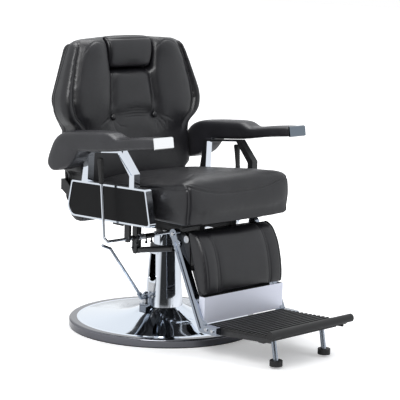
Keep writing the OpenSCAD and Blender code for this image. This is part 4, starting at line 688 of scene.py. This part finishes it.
def even_out(obj, values, rounds):
    """Averages a value per vertex with its neighbours along the edges, over and over."""
    ends = np.empty(len(obj.data.edges) * 2, dtype=np.int64)
    obj.data.edges.foreach_get("vertices", ends)
    a, b = ends.reshape(-1, 2).T
    count = np.bincount(ends, minlength=len(values)).clip(1)[:, None]
    size = len(values)
    for _ in range(rounds):
        sums = [np.bincount(a, column[b], size) + np.bincount(b, column[a], size) for column in values.T]
        values = 0.5 * values + 0.5 * np.stack(sums, 1) / count
    return values


def swell(obj, held, cap):
    """Cloth with air inside. No vertex moves further than cap, and none where held is 1."""
    rest = points_of(obj)
    modifier = obj.modifiers.new("cover", "CLOTH")
    cover = modifier.settings
    cover.quality = 5
    cover.mass = 0.25
    cover.tension_stiffness = cover.compression_stiffness = cover.shear_stiffness = 12
    cover.bending_stiffness = 0.4
    cover.shrink_min = -SLACK
    cover.use_pressure = True
    cover.uniform_pressure_force = PRESSURE
    cover.effector_weights.gravity = 0
    scene = bpy.context.scene
    for frame_number in range(1, FRAMES + 1):
        scene.frame_set(frame_number)
    evaluated = obj.evaluated_get(bpy.context.evaluated_depsgraph_get())
    flat = np.empty(len(rest) * 3)
    evaluated.data.vertices.foreach_get("co", flat)
    move = flat.reshape(-1, 3) - rest
    obj.modifiers.clear()
    scene.frame_set(1)
    size = np.linalg.norm(move, axis=1, keepdims=True)
    limited = move * np.minimum(1, cap / np.maximum(size, 1e-9))
    free = (1 - held(rest))[:, None]
    smooth_part = even_out(obj, even_out(obj, limited, WIDE_ROUNDS) * free, EDGE_ROUNDS)
    limited = PUCKERS * limited * free ** 2 + (1 - PUCKERS) * smooth_part
    set_points(obj, rest + limited)
    return float(np.linalg.norm(limited, axis=1).max())


def press(obj, depth_of):
    """Moves each vertex inwards along its normal by depth_of(points, normals), in metres."""
    points, normals = points_of(obj), normals_of(obj)
    set_points(obj, points - normals * depth_of(points, normals)[:, None])


def line_distance(a, b, polyline):
    """Distance in a plane from points (a, b) to a polyline, and how far along it they lie, from 0 to 1."""
    corners = np.asarray(polyline, float)
    steps = np.linalg.norm(np.diff(corners, axis=0), axis=1)
    starts = np.concatenate([[0], np.cumsum(steps)])[:-1]
    best, where = np.full(np.shape(a), 1e9), np.zeros(np.shape(a))
    for p, q, length, start in zip(corners[:-1], corners[1:], steps, starts):
        du, dv = q - p
        t = np.clip(((a - p[0]) * du + (b - p[1]) * dv) / length ** 2, 0, 1)
        gap = np.hypot(a - p[0] - t * du, b - p[1] - t * dv)
        where = np.where(gap < best, (start + t * length) / steps.sum(), where)
        best = np.minimum(best, gap)
    return best, where


def crease(a, b, polyline, width, depth):
    """A groove along a polyline: a bell of the distance that dies away at both ends."""
    gap, where = line_distance(a, b, polyline)
    return depth * bell(gap, width) * np.sin(np.pi * np.clip(where, 0, 1)) ** 0.6


def make_pad(name, rings, material, body, node, voxel, held, cap, creases):
    """Skin, remesh, swell, subdivide and press: the whole life of a pad. Returns the object."""
    obj = add_object(name, *skin(rings), material)
    bake(obj, ("REMESH", dict(mode="VOXEL", voxel_size=voxel)), ("SMOOTH", dict(factor=0.5, iterations=4)))
    most = swell(obj, held, cap)
    bake(obj, ("SMOOTH", dict(factor=0.5, iterations=2)), ("SUBSURF", dict(levels=1, render_levels=1)))
    press(obj, creases)
    obj.data.polygons.foreach_set("use_smooth", [True] * len(obj.data.polygons))
    obj.data.materials.clear()
    obj.data.materials.append(material)
    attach(obj, body)
    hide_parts(node)
    low, high = points_of(obj).min(0).round(3), points_of(obj).max(0).round(3)
    print(name, len(obj.data.polygons), "faces, swelled", round(most * 1000, 1), "mm, box", low, high)
    return obj


def closed_curve(corners, steps):
    """Smooth closed curves through corners, which lie along the last axis but one."""
    before, here, after, beyond = (np.roll(corners, k, -2) for k in (1, 0, -1, -2))
    t = np.linspace(0, 1, steps, endpoint=False).reshape((steps,) + (1,) * corners.ndim)
    curve = cubic(before, here, after, beyond, t)
    return np.moveaxis(curve, 0, -2).reshape(*corners.shape[:-2], -1, corners.shape[-1])


print("stuffing tools ready")

# %% [markdown]
# ## Seat cushion
# The seat is a deep box cushion: flat sides, a low rear, a high crowned front, and a front seam
# that dips in the middle like a smile. Its outline in side view is one closed curve whose corner
# heights depend on X, so it is computed for all stations across the seat at once.

# %% Seat form
SEAT_HALF, SEAT_FRONT, SEAT_REAR, SEAT_Z = 0.257, -0.370, 0.113, 0.432   # half width, ends, underside
SEAT_FRONT_H, SEAT_REAR_H, SEAT_CROWN = 0.152, 0.112, 0.012              # heights, and the top's dome
SEAT_MARKS = [[(-0.20, -0.30), (-0.12, -0.26), (-0.03, -0.27)],
              [(0.19, -0.31), (0.11, -0.27), (0.02, -0.285)],
              [(-0.21, -0.10), (-0.15, -0.13), (-0.08, -0.12)],
              [(0.21, -0.12), (0.14, -0.15), (0.08, -0.13)]]


def seat_seam(x):
    """Height of the front seam: low and flat in the middle, rising ever faster towards the corners."""
    s = np.abs(x) / SEAT_HALF
    return SEAT_Z + SEAT_FRONT_H * (0.69 + 0.27 * s ** 2.6)


def seat_rings(inside=0.004):
    """Side-view outlines from left to right, drawn in by inside, with both ends rounded."""
    angle = np.linspace(-np.pi / 2, np.pi / 2, 41)
    x = (SEAT_HALF - inside) * power(np.sin(angle), 0.35)
    s = np.abs(x) / SEAT_HALF
    pull = 0.016 * (1 - np.abs(np.cos(angle)) ** 0.35) + inside
    dome = SEAT_CROWN * (1 - s ** 2)
    f, r = SEAT_FRONT + pull, SEAT_REAR - pull
    z0 = SEAT_Z + np.minimum(pull, 0.012) * 0.8
    h1 = SEAT_Z + SEAT_FRONT_H + dome - pull
    h0 = SEAT_Z + SEAT_REAR_H + dome - pull
    c = SEAT_CROWN

    def at(y, z):
        return np.stack([y + 0 * x, z + 0 * x], -1)

    rows = [at(r - c, z0), at(r - c / 2, z0 + c / 2), at(r - c / 3, z0 + 0.3 * (h0 - z0)),
            at(r, z0 + 0.6 * (h0 - z0)), at(r, h0 - 2 * c), at(r - c / 3, h0 - c), at(r - c, h0 - c / 3),
            at(r - 2.2 * c, h0)]
    for t in np.arange(0.15, 0.88, 0.12):
        rows.append(at(r + (f - r) * t, h0 + (h1 - h0) * t + c * (1 - s ** 4) * 2.2 * t * (1 - t)))
    rows += [at(f + 2.6 * c, h1), at(f + 1.3 * c, h1 - c / 4), at(f + c / 3, h1 - 0.95 * c),
             at(f, h1 - 1.9 * c), at(f - c / 8, z0 + 0.66 * (h1 - z0)), at(f - c / 6, z0 + 0.45 * (h1 - z0)),
             at(f, z0 + 0.22 * (h1 - z0)), at(f + c / 4, z0 + c * 0.8), at(f + c, z0),
             at(r + (f - r) * 0.7, z0), at(r + (f - r) * 0.35, z0)]
    outline = closed_curve(np.stack(rows, 1), 5)
    return np.concatenate([np.broadcast_to(x[:, None, None], outline.shape[:2] + (1,)), outline], -1)


def seat_held(p):
    """The underside is held flat on its board, and the cover is held at the front seam."""
    under = 1 - smoothstep((p[:, 2] - SEAT_Z - 0.006) / 0.02)
    seam = bell(p[:, 2] - seat_seam(p[:, 0]), 0.008) * (p[:, 1] < -0.34)
    return np.clip(under + 0.7 * seam, 0, 1)


def seat_creases(p, n):
    """The smile seam and its twin, corner seams, the welt round the top of the sides and a few pull marks."""
    x, y, z = p.T
    above, from_side = z - seat_seam(x), SEAT_HALF - np.abs(x)
    front = smoothstep((-n[:, 1] - 0.25) / 0.4)
    side = smoothstep((np.abs(n[:, 0]) - 0.3) / 0.4)
    top = smoothstep((n[:, 2] - 0.5) / 0.3)
    smile = 0.0048 * bell(above, 0.0036) * front * (from_side > 0.006)
    twin = 0.0018 * bell(above - 0.0095, 0.0022) * front * (from_side > 0.02)
    corner = 0.0032 * bell(from_side - 0.017, 0.0032) * front * (above < 0.004)
    rim = SEAT_Z + np.interp(y, [SEAT_FRONT, SEAT_REAR], [SEAT_FRONT_H, SEAT_REAR_H]) - 0.022
    welt = 0.0024 * bell(z - rim, 0.0030) * side
    dish = 0.005 * bell(np.hypot(x / 0.17, (y + 0.08) / 0.16), 1) * top
    marks = sum(crease(x, y, line, 0.007, 0.0012) for line in SEAT_MARKS) * top
    return smile + twin + corner + welt + dish + marks


make_pad("seat_leather", seat_rings(), hide, "seat", "seat_cushion", 0.006, seat_held, 0.007,
         seat_creases)

# %% [markdown]
# ## Back cushion
# The back is wide above the arm rests and narrow between them. Two channels climb from the
# buttons, lean inwards and frame a panel with a rounded lip, above which the headrest sits in a
# notch. Outside the channels two bolsters bulge, and a deep seam parts each from its wing.
# The front is a height over the (x, z) plane, so every feature is one term in a sum.

# %% Back form
BACK_Z, BACK_H = 0.371, 0.661                     # foot and height
BACK_REAR, BACK_DEPTH = 0.268, 0.142              # rear face, and the depth that the table's shares mean
WING, WEB = 0.022, 0.008                          # how far the wings come forward, and what backs the notch
# Share of the height, half width in metres, and front and rear as shares of the depth.
BACK_ROWS = np.array([
    [0.000, 0.233, 0.55, 0.25], [0.012, 0.2415, 0.59, 0.19], [0.036, 0.248, 0.62, 0.12],
    [0.07, 0.250, 0.704, 0.08],
    [0.1, 0.250, 0.859, 0.05], [0.12, 0.250, 0.958, 0.03], [0.15, 0.250, 1.00, 0.01], [0.19, 0.250, 0.96, 0],
    [0.252, 0.251, 0.915, 0], [0.275, 0.268, 0.90, 0], [0.295, 0.279, 0.885, 0], [0.38, 0.2805, 0.825, 0],
    [0.49, 0.282, 0.755, 0], [0.516, 0.286, 0.74, 0], [0.545, 0.307, 0.72, 0], [0.568, 0.321, 0.705, 0],
    [0.6, 0.333, 0.685, 0], [0.65, 0.338, 0.655, 0], [0.70, 0.3345, 0.62, 0], [0.75, 0.324, 0.585, 0],
    [0.80, 0.3125, 0.55, 0], [0.88, 0.2935, 0.50, 0], [0.93, 0.2805, 0.465, 0], [0.965, 0.270, 0.43, 0.02],
    [0.988, 0.258, 0.36, 0.08], [1.0, 0.243, 0.27, 0.17]])
SEAM_Z = np.array([0.60, 0.700, 0.718, 0.751, 0.797, 0.848, 0.951, 1.016, 1.04])
SEAM_X = np.array([0.216, 0.234, 0.246, 0.279, 0.292, 0.288, 0.261, 0.236, 0.225])
BUTTON_X, BUTTON_Z = 0.101, 0.7430
LIP_Z, LIP_ROUND, PAD_FOOT = 0.902, 0.020, 0.911  # top of the panel, its rounding, and foot of the notch
SEWN = 0.022                                      # how far from a seam the cover is still held


def channel_at(z):
    """How far from the middle a channel runs at a height."""
    return np.interp(z, [0.700, 0.770, 0.902, 1.03], [0.106, 0.106, 0.092, 0.107])


def wing_seam_at(z):
    """How far from the middle the seam between bolster and wing runs at a height."""
    return np.interp(z, SEAM_Z, SEAM_X)


def back_front(x, z, share):
    """Depth of the front: a base slope plus wings, bolsters and panel, less channels, seams and tufts."""
    table = through(BACK_ROWS[:, 0], BACK_ROWS[:, 1:], share[:, 0])
    w, base = table[:, :1], table[:, 1:2] * BACK_DEPTH
    ax = np.abs(x)
    s = ax / w
    seam_x, channel_x = wing_seam_at(z), channel_at(z)
    above = smoothstep((z - 0.765) / 0.035)
    between = np.clip((ax - channel_x) / (seam_x - channel_x), 0, 1)
    outside = np.clip((ax - seam_x) / (w - seam_x), 0, 1)
    wing = WING * smoothstep((share - 0.45) / 0.15)
    rise = wing * (0.42 * smoothstep(2 * (ax - BUTTON_X) / (w - BUTTON_X)) + 0.40 * s ** 4)
    bolster = 0.014 * smoothstep((z - 0.67) / 0.16) * 4 * between ** 0.85 * (1 - between ** 0.85)
    ridge = 0.006 * smoothstep((z - 0.72) / 0.1) * 4 * outside * (1 - outside)
    channel = 0.011 * above * bell(ax - channel_x, 0.013)
    panel = 0.004 * above * np.clip(1 - (ax / channel_x) ** 2, 0, 1)
    lip_top = LIP_Z + 0.006 * (np.clip(ax / channel_x, 0, 1) ** 2 - 0.5)
    t = np.clip((z - lip_top + LIP_ROUND) / LIP_ROUND, 0, 1)
    lip = 0.018 * (1 - np.sqrt(1 - 0.98 * t ** 2)) * smoothstep((channel_x + 0.010 - ax) / 0.012)
    from_button = np.hypot(ax - BUTTON_X, (z - BUTTON_Z) * 0.9)
    tuft = 0.010 * bell(from_button, 0.030) + 0.003 * bell(from_button, 0.013)
    waist = 0.005 * bell(z - BUTTON_Z - 0.004, 0.020) * smoothstep((BUTTON_X - ax) / 0.03)
    valley = 0.010 * smoothstep((z - 0.66) / 0.09) * bell(ax - seam_x, 0.015)
    shoulder = 0.004 * bell(z - 0.985, 0.025) * np.sin(np.pi * between)
    lumbar = 0.008 * bell(z - 0.615, 0.07) * np.cos(np.pi * np.clip(s, 0, 1) / 2) + shoulder + ridge
    return base + rise + bolster + lumbar - channel + panel - lip - tuft - waist - valley


def wing_rear(share, across):
    """How far the wings' rear stands forward, at shares of the height and of the half width."""
    return 0.016 * smoothstep((share - 0.5) / 0.12) * smoothstep((np.abs(across) - 0.75) / 0.25)


def shoulder_drop(share, across):
    """How far the top slopes down towards the sides."""
    return 0.010 * share ** 6 * np.abs(across) ** 3


def back_rings(inside=0.003):
    """Level rings from the foot to the top. The notch is a thin web behind the headrest, with a soft rim."""
    share = np.unique(np.concatenate([np.linspace(0, 1, 96), [0.004, 0.008, 0.992, 0.996]]))[:, None]
    table = through(BACK_ROWS[:, 0], BACK_ROWS[:, 1:], share[:, 0])
    w, rear = table[:, :1] - inside, table[:, 2:3] * BACK_DEPTH
    z = BACK_Z + inside + (BACK_H - 2 * inside) * share
    u = np.linspace(-1, 1, 121)
    x = w * power(u, 0.92)
    ax = np.abs(x)
    front = back_front(x, z + 0 * x, share)
    radius = np.minimum(0.030, (front - (rear + wing_rear(share, u))) / 2)
    edge = np.clip((ax - w + radius) / radius, 0, 1)
    depth = front - inside - radius * (1 - np.sqrt(1 - edge ** 2))
    notch_half = np.interp(z, [0.916, 1.026], [0.1035, 0.1125]) + 0.004
    notch = smoothstep((z - PAD_FOOT + 0.004) / 0.010) * smoothstep((notch_half - ax) / 0.009)
    depth = depth + (WEB - depth) * notch
    dip = 0.006 * bell(ax - 0.112, 0.012) * smoothstep((share - 0.93) / 0.06)
    lobe = 0.005 * smoothstep((share - 0.95) / 0.05) * bell(ax - 0.245, 0.014)
    face = np.stack([x, BACK_REAR - depth, z - (shoulder_drop(share, u) + dip) - lobe], -1)
    v = np.linspace(1, -1, 61)[1:-1]
    rear_y = BACK_REAR - (rear + wing_rear(share, v))
    behind = np.stack([w * v * 0.995, rear_y, z - shoulder_drop(share, v)], -1)
    return np.concatenate([face, behind], 1)


def back_held(p):
    """The rear lies flat on its board. Channels, seams, tufts and the notch are sewn, and hold the cover."""
    x, y, z = np.abs(p[:, 0]), p[:, 1], p[:, 2]
    rear = smoothstep((y - BACK_REAR + 0.025) / 0.015)
    seams = bell(x - channel_at(z), SEWN) * (z > 0.74) + bell(x - wing_seam_at(z), SEWN) * (z > 0.68)
    tuft = bell(np.hypot(x - BUTTON_X, z - BUTTON_Z), SEWN)
    notch = (z > PAD_FOOT - 0.010) * (x < 0.118)
    foot = 1 - smoothstep((z - 0.40) / 0.08)
    return np.clip(rear + seams + tuft + notch + foot, 0, 1)


WRINKLES = [[(-0.078, 0.7475), (0.0, 0.752), (0.078, 0.7475)],
            [(-0.070, 0.757), (0.0, 0.7625), (0.066, 0.759)],
            [(-0.060, 0.7395), (0.004, 0.7425), (0.072, 0.738)],
            [(-0.048, 0.769), (0.01, 0.772), (0.055, 0.769)],
            [(0.106, 0.730), (0.122, 0.706), (0.128, 0.686)],
            [(0.118, 0.733), (0.139, 0.714), (0.150, 0.690)],
            [(0.099, 0.727), (0.105, 0.703), (0.103, 0.680)],
            [(0.126, 0.741), (0.158, 0.730), (0.182, 0.716)],
            [(-0.092, 0.729), (-0.075, 0.711), (-0.045, 0.705)],
            [(-0.104, 0.727), (-0.100, 0.700), (-0.086, 0.684)],
            [(-0.123, 0.741), (-0.150, 0.733), (-0.176, 0.718)],
            [(0.090, 0.764), (0.094, 0.79), (0.088, 0.82)]]


def back_creases(p, n):
    """Stitched channels and wing seams, wrinkles round the buttons, a top seam and grooves at the sides."""
    x, y, z = p.T
    ax = np.abs(x)
    front = smoothstep((-n[:, 1] - 0.1) / 0.3)
    sewn = 0.0010 * bell(ax - channel_at(z), 0.0030) * smoothstep((z - 0.80) / 0.03)
    wing = 0.0050 * bell(ax - wing_seam_at(z), 0.0052) * smoothstep((z - 0.68) / 0.03)
    arch = z - 1.0135 + 0.10 * (ax - 0.17) ** 2 / 0.01
    top = 0.0010 * bell(arch, 0.0022) * smoothstep((ax - 0.118) / 0.008) * smoothstep((0.236 - ax) / 0.008)
    folds = sum(crease(x, z, line, 0.0036, 0.0021) for line in WRINKLES)
    groove = 0.0026 * bell(y - BACK_REAR + 0.028, 0.0032) * smoothstep((np.abs(n[:, 0]) - 0.5) / 0.3)
    return (sewn + wing + folds + top) * front + groove


back_pad = make_pad("back_leather", back_rings(), hide, "backrest", "back_cushion", 0.006, back_held, 0.0024,
                    back_creases)

# %% [markdown]
# ## Headrest
# The headrest is a small box pillow between the bolsters. It slides up on a bar, so its rear
# stays flat and clear of the web of the back, and only its front and top swell.

# %% Headrest
HEAD_Z, HEAD_H, HEAD_REAR, HEAD_DEPTH = 0.9125, 0.118, 0.2585, 0.067


def head_rings(inside=0.003):
    """Level superellipses from the foot to the top, with width, front and rear from a short table."""
    rows = np.array([[0, 0.90, 0.55, 0.12], [0.03, 0.965, 0.78, 0.03], [0.1, 0.995, 0.95, 0],
                     [0.3, 1, 1.03, 0], [0.5, 1, 1.06, 0], [0.7, 1, 1.02, 0], [0.85, 1, 0.92, 0],
                     [0.95, 0.985, 0.76, 0.02], [1, 0.94, 0.56, 0.10]])
    share = np.linspace(0, 1, 40)
    width, front, rear = through(rows[:, 0], rows[:, 1:], share).T[:, :, None]
    half = (0.102 + 0.009 * share[:, None]) * width - inside
    f, r = HEAD_REAR - HEAD_DEPTH * front + inside, HEAD_REAR - HEAD_DEPTH * rear - inside * 0.3
    angle = np.linspace(0, 2 * np.pi, 72, endpoint=False)
    x = half * power(np.cos(angle), 0.3)
    y = (f + r) / 2 + (r - f) / 2 * power(np.sin(angle), 0.34)
    arch = 0.004 * share[:, None] * (1 - (x / 0.107) ** 2)
    z = HEAD_Z + inside + (HEAD_H - 2 * inside) * share[:, None] + arch
    return np.stack([x, y, z], -1)


def head_held(p):
    """Flat at the rear, and held at the ends where the end panels are sewn in."""
    rear = smoothstep((p[:, 1] - HEAD_REAR + 0.02) / 0.012)
    ends = smoothstep((np.abs(p[:, 0]) - 0.092) / 0.010)
    return np.clip(rear + ends + 0.6 * (p[:, 2] < HEAD_Z + 0.006), 0, 1)


def head_creases(p, n):
    """A seam round each end panel and one along the top front edge."""
    x, y, z = p.T
    panel_x = 0.0960 + 0.008 * (z - HEAD_Z) / HEAD_H
    ends = 0.0022 * bell(np.abs(x) - panel_x, 0.0022) * (y < HEAD_REAR - 0.006)
    edge_z = HEAD_Z + 0.109 - 0.05 * (HEAD_REAR - 0.040 - y)
    top = 0.0018 * bell(z - edge_z, 0.0022) * smoothstep((-n[:, 1] - 0.1) / 0.3)
    return ends + top


make_pad("headrest_leather", head_rings(), hide, "headrest", "headrest_pad", 0.0045, head_held, 0.006,
         head_creases)

# %% [markdown]
# ## Calf pad
# The calf pad is a thick quilt over a curved board. It hangs full at the bottom, rolls back at
# the top, has piping near both ends and two double seams that run from top to bottom.

# %% Calf pad
CALF_Z, CALF_H, CALF_FRONT, CALF_HALF = 0.199, 0.214, -0.398, 0.194
CALF_SEAM = 0.125                                 # how far from the middle each double seam runs
# The padded front in side view: depth as a share, and share of the height.
CALF_LINE = np.array([[0.88, 0.004], [1, 0.03], [1.04, 0.1], [1.02, 0.2], [0.946, 0.336], [0.872, 0.458],
                      [0.785, 0.58], [0.71, 0.682], [0.617, 0.766], [0.52, 0.85], [0.42, 0.91],
                      [0.30, 0.955], [0.14, 0.985], [0.02, 0.998]])


def calf_rear(z):
    """The rear face leans back with the board."""
    return -0.388 + (z - 0.109) * 0.279 - 0.0006


def calf_rings(inside=0.002):
    """Side-view outlines from left to right: padded in front, leaning behind, rounded at both ends."""
    t = np.linspace(0, 1, 60)
    line = smooth_curve(CALF_LINE, 6)
    along = np.linspace(0, 1, len(line))
    front = np.stack([np.interp(t, along, line[:, 0]), np.interp(t, along, line[:, 1])], 1)
    angle = np.linspace(-np.pi / 2, np.pi / 2, 41)
    x = (CALF_HALF - inside) * power(np.sin(angle), 0.4)
    pull = (0.86 + 0.155 * np.abs(np.cos(angle)) ** 0.4)[:, None]
    z = CALF_Z + inside + (CALF_H - 2 * inside) * front[None, :, 1] + 0 * pull
    rear = calf_rear(z) - 0.002
    y = rear + (CALF_FRONT - rear) * np.clip(front[None, :, 0] * pull, 0.02, None) + inside
    back_z = CALF_Z + inside + (CALF_H - 2 * inside) * np.linspace(0.97, 0.02, 40)[None, :] + 0 * pull
    outline = np.concatenate([np.stack([y, z], -1), np.stack([calf_rear(back_z), back_z], -1)], 1)
    return np.concatenate([np.broadcast_to(x[:, None, None], outline.shape[:2] + (1,)), outline], -1)


def calf_held(p):
    """Flat on the board, and sewn at the seams and ends."""
    x = np.abs(p[:, 0])
    flat = smoothstep((p[:, 1] - calf_rear(p[:, 2]) + 0.012) / 0.008)
    sewn = 0.9 * bell(x - CALF_SEAM, 0.010) + smoothstep((x - 0.183) / 0.008)
    return np.clip(flat + sewn, 0, 1)


def calf_creases(p, n):
    """Two stitched lines 9 mm apart in a shallow dip at either side, and piping by a groove at each end."""
    x = np.abs(p[:, 0])
    front = smoothstep((-n[:, 1] + n[:, 2] - 0.1) / 0.4)
    stitches = 0.0022 * (bell(x - CALF_SEAM + 0.0045, 0.0020) + bell(x - CALF_SEAM - 0.0045, 0.0020))
    dip = 0.001 * bell(x - CALF_SEAM, 0.012)
    piping = 0.0024 * bell(x - 0.1780, 0.0024) - 0.0016 * bell(x - 0.1835, 0.0026)
    return (stitches + dip + piping) * front


make_pad("calf_leather", calf_rings(), hide, "legrest", "calf_pad", 0.005, calf_held, 0.005,
         calf_creases)

# %% [markdown]
# ## Arm pads
# Each arm pad is a moulded pad: nearly flat below, round above, thin at the front where a chrome
# cap closes it, thick in the middle and drooping behind. Its rings stand across the pad.

# %% Arm pads
ARM_X, ARM_HALF = 0.3265, 0.0415                  # middle and half width
ARM_FRONT, ARM_LENGTH, ARM_FOOT, ARM_HEIGHT = -0.322, 0.553, 0.570, 0.165
# A foot point and a top point, each as shares of the length and the height, and a share of the width.
ARM_ROWS = np.array([
    [0.004, 0.770, 0.011, 1.000, 0.97], [0.060, 0.748, 0.068, 0.985, 1], [0.175, 0.703, 0.180, 0.945, 1],
    [0.300, 0.640, 0.306, 0.885, 1], [0.350, 0.606, 0.358, 0.880, 1], [0.390, 0.588, 0.398, 0.925, 1],
    [0.427, 0.570, 0.436, 0.964, 1], [0.500, 0.545, 0.509, 0.968, 1], [0.580, 0.521, 0.589, 0.952, 1],
    [0.640, 0.503, 0.660, 0.935, 1], [0.690, 0.485, 0.734, 0.910, 1], [0.722, 0.380, 0.800, 0.885, 1],
    [0.742, 0.290, 0.855, 0.850, 1], [0.775, 0.180, 0.905, 0.780, 1], [0.815, 0.100, 0.945, 0.660, 1],
    [0.860, 0.045, 0.975, 0.480, 1], [0.905, 0.010, 0.995, 0.320, 0.99], [0.940, 0.000, 1.000, 0.190, 0.96],
    [0.962, 0.020, 0.995, 0.120, 0.85]])


left_low, left_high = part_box("arm_pad_left")
SIDE_OF_LEFT = float(np.sign(left_low[0] + left_high[0]))         # the sign of X at the sitter's left


def arm_rings(side, inside=0.0015):
    """Superellipses between a foot line and a top line, squarer below than above."""
    rows = smooth_curve(ARM_ROWS, 5)
    foot = np.stack([ARM_FRONT + ARM_LENGTH * rows[:, 0], ARM_FOOT + ARM_HEIGHT * rows[:, 1]], 1)
    top = np.stack([ARM_FRONT + ARM_LENGTH * rows[:, 2], ARM_FOOT + ARM_HEIGHT * rows[:, 3]], 1)
    middle, reach = (foot + top) / 2, (top - foot) / 2
    reach = reach * (1 - inside / np.linalg.norm(reach, axis=1))[:, None]
    angle = np.linspace(0, 2 * np.pi, 64, endpoint=False)
    bend = np.where(np.sin(angle) < 0, 0.2, 0.44)
    x = side * (ARM_X + (ARM_HALF - inside) * rows[:, 4:5] * power(np.cos(angle), bend)[None])
    rise = power(np.sin(angle), bend)[None, :, None]
    return np.concatenate([x[..., None], middle[:, None] + reach[:, None] * rise], -1)


def arm_held(p):
    """The underside lies on the bracket's rail and the front end fills its cap, so only the top swells."""
    low = np.interp(p[:, 1], [-0.322, -0.08, 0.06, 0.10, 0.231], [0.697, 0.664, 0.650, 0.59, 0.575])
    under = 1 - smoothstep((p[:, 2] - low - 0.012) / 0.02)
    rail, cap_end = under * (p[:, 1] < 0.08), p[:, 1] < -0.305
    inner_side = smoothstep((0.290 - np.abs(p[:, 0])) / 0.003)
    return np.clip(rail + cap_end + inner_side, 0, 1)


def arm_creases(p, n):
    """A parting seam along the side, just above the rail, and a fainter line beside the cap."""
    x, y, z = p.T
    low = np.interp(y, [-0.322, -0.157, -0.086, 0.06, 0.10], [0.697, 0.6755, 0.664, 0.650, 0.645])
    side = smoothstep((np.abs(n[:, 0]) - 0.35) / 0.3) * (y < 0.09)
    return 0.0012 * bell(z - low - 0.006, 0.0016) * side + 0.0007 * bell(y + 0.309, 0.0018)


for side, tail in ((SIDE_OF_LEFT, "left"), (-SIDE_OF_LEFT, "right")):
    make_pad(f"arm_leather_{tail}", arm_rings(side), arm_hide, "seat", f"arm_pad_{tail}", 0.004, arm_held,
             0.0022, arm_creases)

# %% [markdown]
# ## Buttons, grips and spring
# A covered button is a shallow dome on a rolled rim, sunk into its tuft. Its place is read from
# the finished cushion, so that it always sits on the leather. The grips are ribbed rubber
# sleeves, and the spring is one round wire carried along a helix and a straight tail.

# %% Covered buttons
def lathe(profile, sides):
    """Rings round the local Z axis from (radius, height) rows."""
    profile = np.asarray(profile, float)
    angle = np.linspace(0, 2 * np.pi, sides, endpoint=False)
    ring = np.stack([np.cos(angle), np.sin(angle), 0 * angle], -1)
    return profile[:, :1, None] * ring[None] + profile[:, 1:, None] * np.array([0, 0, 1.0])


def merged(name, parts, material, body, node):
    """Several skins as one object that replaces a CAD node."""
    vertices, faces, count = [], [], 0
    for rings in parts:
        points, cells_of = skin(rings)
        vertices.append(points)
        faces += [[k + count for k in face] for face in cells_of]
        count += len(points)
    obj = add_object(name, np.vstack(vertices), faces, material)
    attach(obj, body)
    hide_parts(node)
    print(name, len(obj.data.polygons), "faces")


DOME = [(0.002, -0.004), (0.0092, -0.004), (0.0110, -0.0022), (0.0112, -0.0004), (0.0104, 0.0018),
        (0.0088, 0.0038), (0.0066, 0.0053), (0.0040, 0.0062), (0.0013, 0.0065)]
PROUD = 0.0045                                    # how far a dome stands out of its tuft
leather_points = points_of(back_pad)
dome = lathe(DOME, 28)
domes = []
for x in (-BUTTON_X, BUTTON_X):
    beside = np.hypot(leather_points[:, 0] - x, leather_points[:, 2] - BUTTON_Z) < 0.006
    face_y = leather_points[beside & (leather_points[:, 1] < 0.22)][:, 1].mean() - PROUD
    domes.append(np.stack([x + dome[..., 0], face_y - dome[..., 2], BUTTON_Z + dome[..., 1]], -1))
merged("covered_buttons", domes, hide_small, "backrest", "back_buttons")

# %% Rubber grips
SHAFT_Y, SHAFT_Z, LEVER_X, LEAN = -0.050, 0.350, 0.335, np.radians(5.6)
GRIP_START, GRIP_LENGTH, GRIP_HALF, GRIP_RIBS = 0.548, 0.088, 0.009, 13
# Share of the length, and depth and width as shares of the half width.
GRIP_TABLE = np.array([[0, 0.62, 0.8], [0.06, 0.78, 1], [0.3, 0.85, 1], [0.7, 1.1, 1.05], [0.92, 1.25, 1.1],
                       [1, 1, 0.85]])


def grip_rings(side):
    """Rings up the leaning lever: a table gives depth and width, and a wave along it makes the ribs."""
    share = np.linspace(0, 1, 90)
    depth, width = through(GRIP_TABLE[:, 0], GRIP_TABLE[:, 1:], share).T
    plain_ends = smoothstep((share - 0.1) / 0.05) * smoothstep((0.88 - share) / 0.05)
    ribs = 1 - 0.045 * (1 + np.cos(2 * np.pi * share * GRIP_RIBS)) * plain_ends
    angle = np.linspace(0, 2 * np.pi, 28, endpoint=False)
    rise = (GRIP_START - SHAFT_Z + GRIP_LENGTH * share)[:, None]
    x = side * LEVER_X + GRIP_HALF * (width * ribs)[:, None] * power(np.cos(angle), 0.7)
    y = SHAFT_Y + rise * np.tan(LEAN) + GRIP_HALF * (depth * ribs)[:, None] * power(np.sin(angle), 0.7)
    return np.stack([x, y, SHAFT_Z + rise + 0 * x], -1)


for side, tail in ((SIDE_OF_LEFT, "left"), (-SIDE_OF_LEFT, "right")):
    merged(f"ribbed_grip_{tail}", [grip_rings(side)], black_rubber, "recline_lever", f"lever_grip_{tail}")

# %% Return spring
SPRING_X, PITCH, COIL, TURNS, WIRE = -0.1759, 0.0052, 0.009, 5, 0.0015
turn = np.linspace(0, TURNS, TURNS * 26 + 1)
around, upward_part = np.cos(2 * np.pi * turn), np.sin(2 * np.pi * turn)
helix = np.stack([SPRING_X + PITCH * turn, SHAFT_Y + COIL * around, SHAFT_Z + COIL * upward_part], 1)
heading = np.array([PITCH, 0, 2 * np.pi * COIL])
lead = helix[0] - heading / np.linalg.norm(heading) * 2 * WIRE
tail_x = SPRING_X + TURNS * PITCH + WIRE
straight = np.array([[tail_x, SHAFT_Y + COIL, z] for z in (0.3555, 0.362, 0.375, 0.390, 0.403)])
spring = tube(np.vstack([lead, helix, straight]), WIRE, 10)
merged("coiled_spring", [spring], satin_z, "seat", "return_spring")
